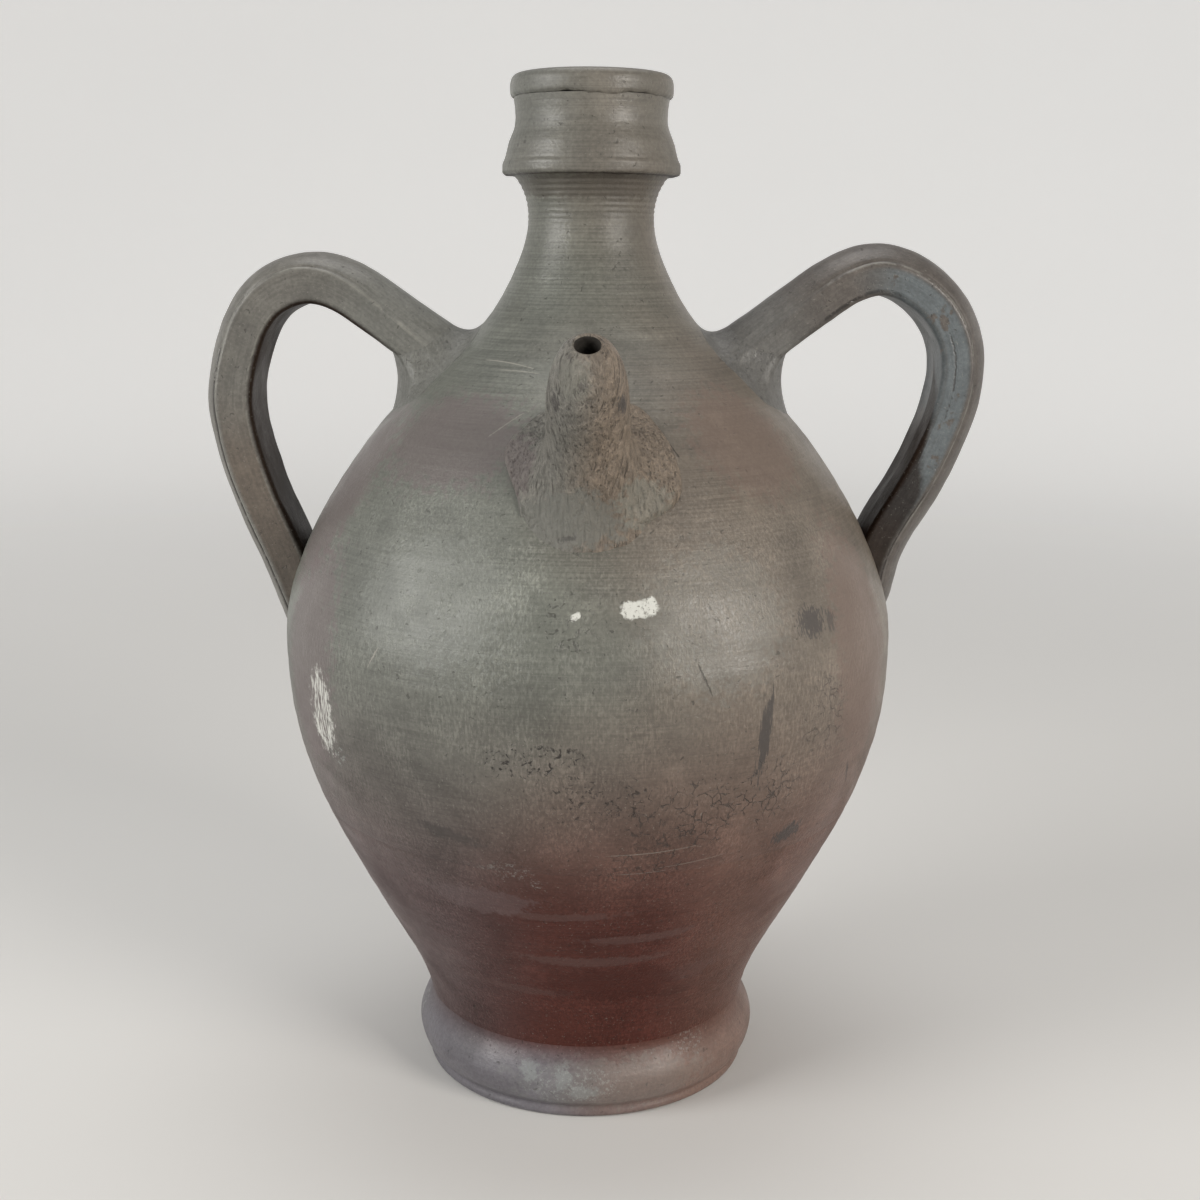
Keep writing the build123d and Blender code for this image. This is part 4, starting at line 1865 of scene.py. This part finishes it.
    def _root_clay(self, finish: bpy.types.Material, stations: list[list[Vector]]) -> None:
        """The clay pressed round the strap's top end.

        Args:
            finish: The clay's finish.
            stations: The strap's sections on the +X side.
        """
        pitch = self.centre.length / self.rows
        middle, along = self.centre.at(self.skirt_share), self.centre.along(self.skirt_share)
        crown = Vector((-along.z, 0, along.x))
        skirts = []
        for column, place in enumerate(stations[round(self.skirt_share * self.rows)]):
            out = (place - middle).normalized()

            def path(distance: float) -> Vector:
                """The strap's surface in this column.

                Args:
                    distance: The distance from the strap's start.

                Returns:
                    The place.
                """
                row = min(max(distance / pitch, 0.0), self.rows - 1.001)
                low = int(row)
                return stations[low][column].lerp(stations[low + 1][column], row - low)

            skirt = self.fillet.column(path, out, out.dot(crown), lambda spot: 0.0, self.skirt_start)
            skirts.append([self.flipped(point) for point in skirt])
        edit = sheet(len(skirts[0]) - 1, len(skirts), lambda row, column: skirts[column][row])
        kneaded(edit, self.kneading, lambda place: 1.0)
        make_piece(self.name + "_strap_root", edit, [finish], Slot.STRAP, "root_clay_" + self.name)


# The studio


@dataclass
class Studio:
    """A pale floor that curves up far away, soft lights and the camera."""

    floor_radius: float = 2.6
    floor_turns: int = 96
    bowl_height: float = 1.3
    bowl_rows: int = 16
    near_tone: Colour = (0.66, 0.65, 0.635)
    far_tone: Colour = (0.93, 0.925, 0.915)
    sky_tone: Colour = (0.86, 0.86, 0.85)
    light_tone: Colour = (1.0, 0.99, 0.97)
    sky_light: float = 0.27
    lamps: tuple = (
        ("left", (-1.30, -0.62, 0.70), 0.80, 6.2, (1.0, 0.99, 0.96)),
        ("right", (1.08, -0.98, 0.66), 0.62, 5.9, (1.0, 0.96, 0.90)),
        ("top", (0.0, 0.35, 1.6), 1.2, 3.4, (1.0, 1.0, 1.0)),
    )
    lamp_spread: float = 110.0
    glow_tone: Colour = (1.0, 0.99, 0.975)
    near_glow: float = 0.03
    far_glow: float = 0.36
    glow_reach: tuple[float, float] = (0.3, 1.9)
    pale_reach: tuple[float, float] = (0.35, 2.2)
    aim: tuple[float, float, float] = (0.0, 0.0, 0.17)

    def build(self) -> None:
        """Builds the stage, the lamps, the world and the camera."""
        VIEW.make()
        self._floor()
        for name, place, size, power, tint in self.lamps:
            data = bpy.data.lights.new("lamp_" + name, "AREA")
            data.shape, data.size, data.energy, data.color = "SQUARE", size, power, tint
            data.spread = math.radians(self.lamp_spread)
            lamp = bpy.data.objects.new("lamp_" + name, data)
            lamp.location = place
            toward = Vector(self.aim) - Vector(place)
            lamp.rotation_euler = toward.to_track_quat("-Z", "Y").to_euler()
            lamp.visible_camera = False
            bpy.context.scene.collection.objects.link(lamp)
        self._world()
        bpy.context.scene.view_settings.view_transform = "Standard"

    def _floor(self) -> None:
        """The floor, flat under the jug and turned up at its far rim."""
        bend = self.floor_radius - self.bowl_height
        line = [Vector(), Vector((bend / 2, 0, 0)), Vector((bend, 0, 0))]
        for k in range(1, self.bowl_rows + 1):
            angle = math.pi / 2 * k / self.bowl_rows
            out, up = math.sin(angle), 1 - math.cos(angle)
            line.append(Vector((bend + self.bowl_height * out, 0, self.bowl_height * up)))
        edit = spun(line, self.floor_turns, False)
        bmesh.ops.reverse_faces(edit, faces=edit.faces)
        graph = Graph("floor_paper")
        far = graph.node("ShaderNodeVectorMath", {0: graph.place}, operation="LENGTH").outputs["Value"]
        soft = graph.noise(graph.place, 3.0, 2)
        colour = graph.mix(self.near_tone, self.far_tone, graph.ramp(far, *self.pale_reach))
        colour = graph.shaded(colour, graph.math("MULTIPLY_ADD", soft, 0.04, 0.98))
        graph.tree.links.new(colour, graph.shader.inputs["Base Color"])
        seen = graph.node("ShaderNodeLightPath", {}).outputs
        straight = graph.math("MAXIMUM", seen["Is Camera Ray"], seen["Is Transmission Ray"])
        straight = graph.math("MAXIMUM", straight, seen["Is Glossy Ray"])
        rise = graph.ramp(far, *self.glow_reach, self.near_glow, self.far_glow)
        glow = graph.product(straight, rise)
        graph.shader.inputs["Emission Color"].default_value = (*self.glow_tone, 1.0)
        graph.tree.links.new(glow, graph.shader.inputs["Emission Strength"])
        graph.shader.inputs["Roughness"].default_value = 0.85
        graph.shader.inputs["Specular IOR Level"].default_value = 0.2
        mesh = bpy.data.meshes.new("floor")
        edit.to_mesh(mesh)
        edit.free()
        mesh.shade_smooth()
        mesh.materials.append(graph.material)
        floor = bpy.data.objects.new("floor", mesh)
        bpy.context.scene.collection.objects.link(floor)

    def _world(self) -> None:
        """An even sky that lights softly and shows pale to the camera."""
        world = bpy.data.worlds.new("sky")
        world.use_nodes = True
        tree = world.node_tree
        tree.nodes.clear()
        light = tree.nodes.new("ShaderNodeBackground")
        light.inputs[0].default_value = (*self.light_tone, 1.0)
        light.inputs[1].default_value = self.sky_light
        seen = tree.nodes.new("ShaderNodeBackground")
        seen.inputs[0].default_value = (*self.sky_tone, 1.0)
        path = tree.nodes.new("ShaderNodeLightPath")
        blend = tree.nodes.new("ShaderNodeMixShader")
        output = tree.nodes.new("ShaderNodeOutputWorld")
        tree.links.new(path.outputs["Is Camera Ray"], blend.inputs[0])
        tree.links.new(light.outputs[0], blend.inputs[1])
        tree.links.new(seen.outputs[0], blend.inputs[2])
        tree.links.new(blend.outputs[0], output.inputs[0])
        bpy.context.scene.world = world


# Violet and warm greys near the edges and the shoulder: painted reflection of red surroundings.
VIOLET_REFLECTION = (0.150, 0.116, 0.118)
WARM_REFLECTION = (0.160, 0.108, 0.088)
# Deep maroon: painted shade and painted reflection of red surroundings on the lowest belly.
DEEP_MAROON_SHADE = (0.050, 0.013, 0.009)
DUSTY_GREEN = (0.150, 0.150, 0.132)
# Pale grey-green: painted highlight.
PALE_GREEN_HIGHLIGHT = (0.215, 0.212, 0.180)
# Maroon: painted reflection of red surroundings.
MAROON_REFLECTION = (0.105, 0.062, 0.056)
# Painted shade under the collar.
UNDER_COLLAR_SHADE = (0.062, 0.050, 0.040)

BODY_MARKS = (
    # Pale grey-green patches at the left and right of the belly: painted sheen.
    Mark(MarkKind.BLOOM, 430, 600, 190, 150, 0, 0.32),
    Mark(MarkKind.BLOOM, 720, 620, 170, 170, 0, 0.22),
    # Violet and warm patches on the shoulder and at the belly's edges: painted reflection of red
    # surroundings.
    Mark(MarkKind.BLOOM, 450, 440, 190, 130, 0, 0.55, tone=VIOLET_REFLECTION),
    Mark(MarkKind.BLOOM, 745, 440, 150, 150, 0, 0.45, tone=WARM_REFLECTION),
    Mark(MarkKind.BLOOM, 305, 660, 130, 260, 0, 0.6, tone=VIOLET_REFLECTION),
    Mark(MarkKind.BLOOM, 345, 490, 130, 230, 0, 0.6, tone=VIOLET_REFLECTION),
    Mark(MarkKind.BLOOM, 866, 650, 130, 280, 0, 0.6, tone=WARM_REFLECTION),
    # Maroon bands and a deep maroon patch low on the belly: painted reflection of red surroundings and
    # painted shade.
    Mark(MarkKind.BLOOM, 560, 918, 150, 12, 2, 0.5, tone=MAROON_REFLECTION),
    Mark(MarkKind.BLOOM, 640, 938, 130, 14, 4, 0.5, tone=MAROON_REFLECTION),
    Mark(MarkKind.BLOOM, 590, 962, 170, 16, 0, 0.5, tone=MAROON_REFLECTION),
    Mark(MarkKind.BLOOM, 520, 988, 130, 12, -4, 0.4, tone=MAROON_REFLECTION),
    Mark(MarkKind.BLOOM, 690, 970, 60, 30, 0, 0.3, tone=MAROON_REFLECTION),
    Mark(MarkKind.BLOOM, 610, 985, 150, 60, 0, 0.6, tone=DEEP_MAROON_SHADE),
    # Painted reflection of red surroundings low on the belly.
    Mark(MarkKind.BLOOM, 480, 900, 120, 40, 0, 0.3, tone=VIOLET_REFLECTION),
    Mark(MarkKind.CHALK, 633, 611, 30, 21),
    Mark(MarkKind.CHALK, 651, 607, 17, 20),
    Mark(MarkKind.CHALK, 575, 618, 8, 14, -38),
    # A dark band on the top of the neck: painted shade under the collar.
    Mark(MarkKind.BLOOM, 592, 186, 260, 26, 0, 0.5, tone=UNDER_COLLAR_SHADE, depth=260),
    Mark(MarkKind.CHALK, 321, 712, 48, 88, 2, 0.9),
    Mark(MarkKind.FROST, 336, 752, 34, 30, 0, 0.6),
    Mark(MarkKind.FROST, 536, 883, 14, 14, 0, 0.4),
    Mark(MarkKind.FROST, 505, 870, 60, 24, 0, 0.25),
    Mark(MarkKind.FROST, 470, 655, 150, 90, 0, 0.22),
    Mark(MarkKind.FROST, 720, 640, 130, 120, 0, 0.18),
    Mark(MarkKind.SMUDGE, 810, 622, 48, 36, 0, 0.8),
    Mark(MarkKind.SMUDGE, 829, 620, 18, 26, 0, 0.6),
    Mark(MarkKind.SMUDGE, 765, 735, 18, 104, -4, 0.85),
    Mark(MarkKind.SMUDGE, 787, 831, 42, 24, 20, 0.85),
    Mark(MarkKind.SMUDGE, 450, 834, 90, 18, -12, 0.55),
    Mark(MarkKind.SCORE, 704, 678, 3, 44, 24, 0.6),
    Mark(MarkKind.SCORE, 846, 770, 4, 30, 22, 0.8),
    Mark(MarkKind.SMUDGE, 568, 541, 24, 6, 6, 0.6),
    Mark(MarkKind.SCORE, 672, 450, 2.4, 26, 24, 0.6, depth=14),
    Mark(MarkKind.SCRATCH, 505, 362, 74, 1.6, -6, 0.7),
    Mark(MarkKind.SCRATCH, 520, 371, 60, 1.4, -4, 0.6),
    Mark(MarkKind.SCRATCH, 655, 852, 110, 1.4, 4, 0.35),
    Mark(MarkKind.SCRATCH, 690, 862, 80, 1.3, 6, 0.3),
    Mark(MarkKind.SCRATCH, 640, 872, 70, 1.3, 3, 0.3),
    Mark(MarkKind.SCRATCH, 375, 655, 2.2, 34, -30, 0.8),
    Mark(MarkKind.SCRATCH, 506, 424, 2.0, 52, -42, 0.5),
    Mark(MarkKind.CRACKLE, 690, 818, 130, 84, 8, 0.75),
    Mark(MarkKind.CRACKLE, 768, 790, 80, 80, 0, 0.8),
    Mark(MarkKind.CRACKLE, 640, 866, 110, 40, 5, 0.6),
    Mark(MarkKind.CRACKLE, 824, 715, 80, 90, 0, 0.6),
    Mark(MarkKind.PITS, 530, 762, 130, 40, 0, 0.9),
    Mark(MarkKind.PITS, 600, 800, 120, 60, 0, 0.7),
    Mark(MarkKind.PITS, 570, 620, 70, 80, 0, 0.5),
)

FROSTED = (0.27, 0.295, 0.29)
FOOT_MARKS = (
    Mark(MarkKind.BLOOM, 610, 1080, 220, 56, 0, 0.22),
    Mark(MarkKind.FROST, 580, 1040, 70, 12, 0, 0.5),
    Mark(MarkKind.BLOOM, 534, 1066, 26, 26, 0, 0.4, tone=FROSTED),
    Mark(MarkKind.BLOOM, 566, 1075, 22, 30, 0, 0.4, tone=FROSTED),
    Mark(MarkKind.BLOOM, 584, 1086, 40, 20, 0, 0.4, tone=FROSTED),
    Mark(MarkKind.FROST, 575, 1082, 110, 40, 0, 0.4),
    Mark(MarkKind.FROST, 685, 1035, 40, 44, 0, 0.3),
    Mark(MarkKind.FROST, 432, 1005, 30, 46, 0, 0.5),
)

SPOUT_MARKS = (
    Mark(MarkKind.BLOOM, 560, 525, 150, 60, 0, 0.75, tone=DUSTY_GREEN),
    # Paler grey-green on the right wing: painted highlight.
    Mark(MarkKind.BLOOM, 640, 505, 70, 60, 0, 0.6, tone=PALE_GREEN_HIGHLIGHT),
    # Violet on the spout clay's left wing: painted reflection of red surroundings.
    Mark(MarkKind.BLOOM, 515, 470, 60, 80, 0, 0.5, tone=VIOLET_REFLECTION),
    # Pale grey-green on the spout's left side: painted highlight.
    Mark(MarkKind.BLOOM, 572, 382, 44, 50, 0, 0.5, level=-104 * MM, tone=PALE_GREEN_HIGHLIGHT),
    Mark(MarkKind.SMUDGE, 555, 402, 11, 22, 0, 0.75, level=-96 * MM),
    Mark(MarkKind.SMUDGE, 624, 406, 13, 26, 0, 0.85, level=-96 * MM),
    Mark(MarkKind.SMUDGE, 581, 388, 17, 15, 0, 0.6, level=-100 * MM),
    Mark(MarkKind.SMUDGE, 571, 358, 7, 8, 0, 0.5, level=-104 * MM),
    Mark(MarkKind.SCORE, 638, 440, 2.6, 64, -8, 0.7, level=-88 * MM),
    Mark(MarkKind.SCORE, 646, 470, 2.2, 44, 6, 0.6, level=-88 * MM),
    Mark(MarkKind.SMUDGE, 568, 541, 24, 6, 6, 0.6),
    Mark(MarkKind.SCORE, 673, 452, 2.6, 24, 24, 0.6, depth=24),
)

# Near black: real cracks along the straps, and painted shade under the right loop's top.
CRACK_AND_SHADE_TONE = (0.016, 0.012, 0.010)
# Near-black brown: painted shade on the straps' flat insides and lower limbs.
SHADE_BROWN = (0.022, 0.013, 0.009)
# Dull brown: painted shade on the left strap's lower front face.
LOW_FRONT_SHADE = (0.125, 0.092, 0.068)
# Pale line: painted highlight along the crease and the inner edge.
CREASE_HIGHLIGHT = (0.26, 0.255, 0.225)
BLUE_BLOOM = (0.118, 0.138, 0.148)

LEFT_ROOT_TONE = (0.150, 0.150, 0.136)
RIGHT_ROOT_TONE = (0.128, 0.124, 0.116)
LEFT_STAINS = (
    Stain(LEFT_ROOT_TONE, -0.1, 1.1, -0.2, 0.27, 0.95, soft_end=0.07),
    # Painted shade on the front face of the lower limb.
    Stain(LOW_FRONT_SHADE, 0.725, 0.85, 0.62, 1.1, 0.6, soft_end=0.08),
    # Painted shade on the flat inside, its shine cut.
    Stain(SHADE_BROWN, -0.1, 0.145, 0.16, 1.1, 0.95, soft_end=0.05, matt=0.95),
    Stain(SHADE_BROWN, 0.855, 1.1, 0.16, 1.1, 0.95, soft_end=0.05, matt=0.95),
    # Painted highlights along the crease and the inner edge.
    Stain(CREASE_HIGHLIGHT, 0.675, 0.705, 0.12, 0.82, 0.55, broken=0.40),
    Stain(CREASE_HIGHLIGHT, 0.835, 0.850, 0.40, 0.95, 0.4, broken=0.45),
    Stain(CRACK_AND_SHADE_TONE, 0.640, 0.672, 0.50, 0.95, 0.95, depth=2.2, broken=0.40),
)
RIGHT_STAINS = (
    Stain(RIGHT_ROOT_TONE, -0.1, 1.1, -0.2, 0.20, 0.95, soft_end=0.06),
    # Dark ragged line under the top of the right loop: a crack and painted shade.
    Stain(CRACK_AND_SHADE_TONE, 0.832, 0.862, 0.22, 0.40, 0.8, depth=1.5, broken=0.46),
    Stain(BLUE_BLOOM, 0.735, 0.85, 0.34, 0.84, 0.85, broken=0.34, soft_end=0.06),
    # The bloom on the flat inside is weaker, which is painted shade, and its shine is cut.
    Stain(BLUE_BLOOM, -0.1, 0.145, 0.36, 0.68, 0.7, broken=0.34, soft_end=0.05, matt=0.8),
    Stain(BLUE_BLOOM, 0.85, 1.1, 0.36, 0.70, 0.75, broken=0.34, soft_end=0.05, matt=0.8),
    # Painted shade on the flat inside of the lower limb, its shine cut.
    Stain(SHADE_BROWN, -0.1, 0.145, 0.66, 1.1, 0.95, soft_end=0.05, matt=0.95),
    Stain(SHADE_BROWN, 0.855, 1.1, 0.66, 1.1, 0.95, soft_end=0.05, matt=0.95),
    # Painted shade over the front and the inside of the lower limb.
    Stain(SHADE_BROWN, 0.735, 1.1, 1.4425, 3.0, 0.8, slant=0.885, soft_end=0.02, matt=0.8),
    # Painted highlight along the crease.
    Stain(CREASE_HIGHLIGHT, 0.675, 0.70, 0.25, 0.85, 0.4, broken=0.45),
    Stain(CRACK_AND_SHADE_TONE, 0.793, 0.800, 0.50, 0.66, 0.7, depth=1.2, broken=0.42),
    Stain(CRACK_AND_SHADE_TONE, 0.705, 0.722, 0.78, 0.96, 0.9, depth=1.8, broken=0.38),
)
STRAP_MARKS = (
    Mark(MarkKind.PITS, 762, 350, 14, 12, 0, 0.9, level=-16 * MM),
)

BODY_FINISH = ClayFinish("body_clay", marks=BODY_MARKS)
# The inner walls of the neck, mouth and spout bore: the same clay made nearly black, painted shade inside
# the hollows.
INSIDE_SHADE_FINISH = ClayFinish(
    "inside_clay_painted_shade", left=(0.030, 0.027, 0.024), right=(0.030, 0.026, 0.022), low_share=0.0, strokes=0.0,
    speckle=0.1, roughness=0.7, gloss=0.2,
)
# The collar's low tones, dark below 298.5 mm, are a painted shadow along its underside.
COLLAR_FINISH = ClayFinish(
    "collar_clay", left=(0.150, 0.152, 0.136), right=(0.152, 0.130, 0.106), rings=0.8, strokes=0.0,
    low_left=(0.040, 0.030, 0.024), low=(0.036, 0.026, 0.020),
    low_right=(0.040, 0.030, 0.024), low_from=299.0 * MM, low_to=298.5 * MM, low_swing=0.0,
)
# The foot's low tones darken it toward its top, under the belly: painted shade, tinted maroon like the
# lower belly's painted reflection.
FOOT_FINISH = ClayFinish(
    "foot_clay", left=(0.138, 0.130, 0.146), right=(0.195, 0.124, 0.100), rings=0.6, strokes=0.0,
    low_left=(0.090, 0.062, 0.064), low=(0.090, 0.030, 0.022), low_from=16 * MM, low_to=27 * MM,
    low_swing=0.06, low_share=0.9, marks=FOOT_MARKS,
)
SPOUT_FINISH = ClayFinish(
    "spout_clay", left=(0.176, 0.168, 0.147), right=(0.200, 0.158, 0.120), side_from=-8 * MM,
    side_to=6 * MM, low_share=0.0, rings=0.2, strokes=0.6, rugged=1.0, bump=1.8, marks=SPOUT_MARKS,
)
LEFT_STRAP_FINISH = ClayFinish(
    "strap_clay_left", left=(0.148, 0.141, 0.126), right=(0.148, 0.141, 0.126), low_share=0.0, rings=0.7,
    strokes=0.0, speckle=0.3, along_strap=True, stains=LEFT_STAINS,
)
LEFT_ROOT_FINISH = ClayFinish(
    "root_clay_left", left=LEFT_ROOT_TONE, right=LEFT_ROOT_TONE, low_share=0.0, rings=0.2,
    strokes=0.0, rugged=0.4, speckle=0.2,
)
RIGHT_ROOT_FINISH = ClayFinish(
    "root_clay_right", left=RIGHT_ROOT_TONE, right=RIGHT_ROOT_TONE, low_share=0.0, rings=0.2,
    strokes=0.0, rugged=0.4,
)
RIGHT_STRAP_FINISH = ClayFinish(
    "strap_clay_right", left=(0.095, 0.083, 0.074), right=(0.095, 0.083, 0.074), low_share=0.0, rings=0.7,
    strokes=0.0, speckle=0.3, along_strap=True, stains=RIGHT_STAINS, marks=STRAP_MARKS,
)

LEFT_STRAP = StrapHandle(
    name="left", side=-1, projection=24.1 * MM, crown_rise=122.4 * MM, tail_drop=6.0 * MM,
    path_shares=(
        (0.305, 0.922), (0.598, 1.000), (0.832, 0.948), (0.964, 0.805),
        (1.000, 0.690), (0.955, 0.514), (0.893, 0.406),
    ),
    tail_shares=((0.230, 0.82), (0.094, 0.13), (0.0, -0.12)),
    dome_share=0.32, root_dome_share=0.72,
)
RIGHT_STRAP = StrapHandle(
    name="right", side=1, projection=27.3 * MM, crown_rise=126.4 * MM, tail_drop=-8.0 * MM,
    path_shares=(
        (0.316, 0.902), (0.628, 1.000), (0.846, 0.942), (0.997, 0.789),
        (1.000, 0.644), (0.932, 0.496), (0.831, 0.356),
    ),
    tail_shares=((0.137, 0.50), (0.062, 0.19), (0.0, -0.12)),
    dome_share=0.42, root_dome_share=0.55,
)


def main() -> None:
    """Builds the studio and every piece of the jug."""
    logging.basicConfig(level=logging.INFO, format="%(message)s")
    Studio().build()
    inside, collar = INSIDE_SHADE_FINISH.build(), COLLAR_FINISH.build()
    spout = Spout()
    ThrownBody().build([BODY_FINISH.build(), inside], spout.cutter())
    MouthCollar().build(collar)
    RimBand().build([collar, inside])
    FootRing().build(FOOT_FINISH.build())
    spout.build([SPOUT_FINISH.build(), inside])
    LEFT_STRAP.build(LEFT_STRAP_FINISH.build(), LEFT_ROOT_FINISH.build())
    RIGHT_STRAP.build(RIGHT_STRAP_FINISH.build(), RIGHT_ROOT_FINISH.build())


if __name__ == "__main__":
    main()
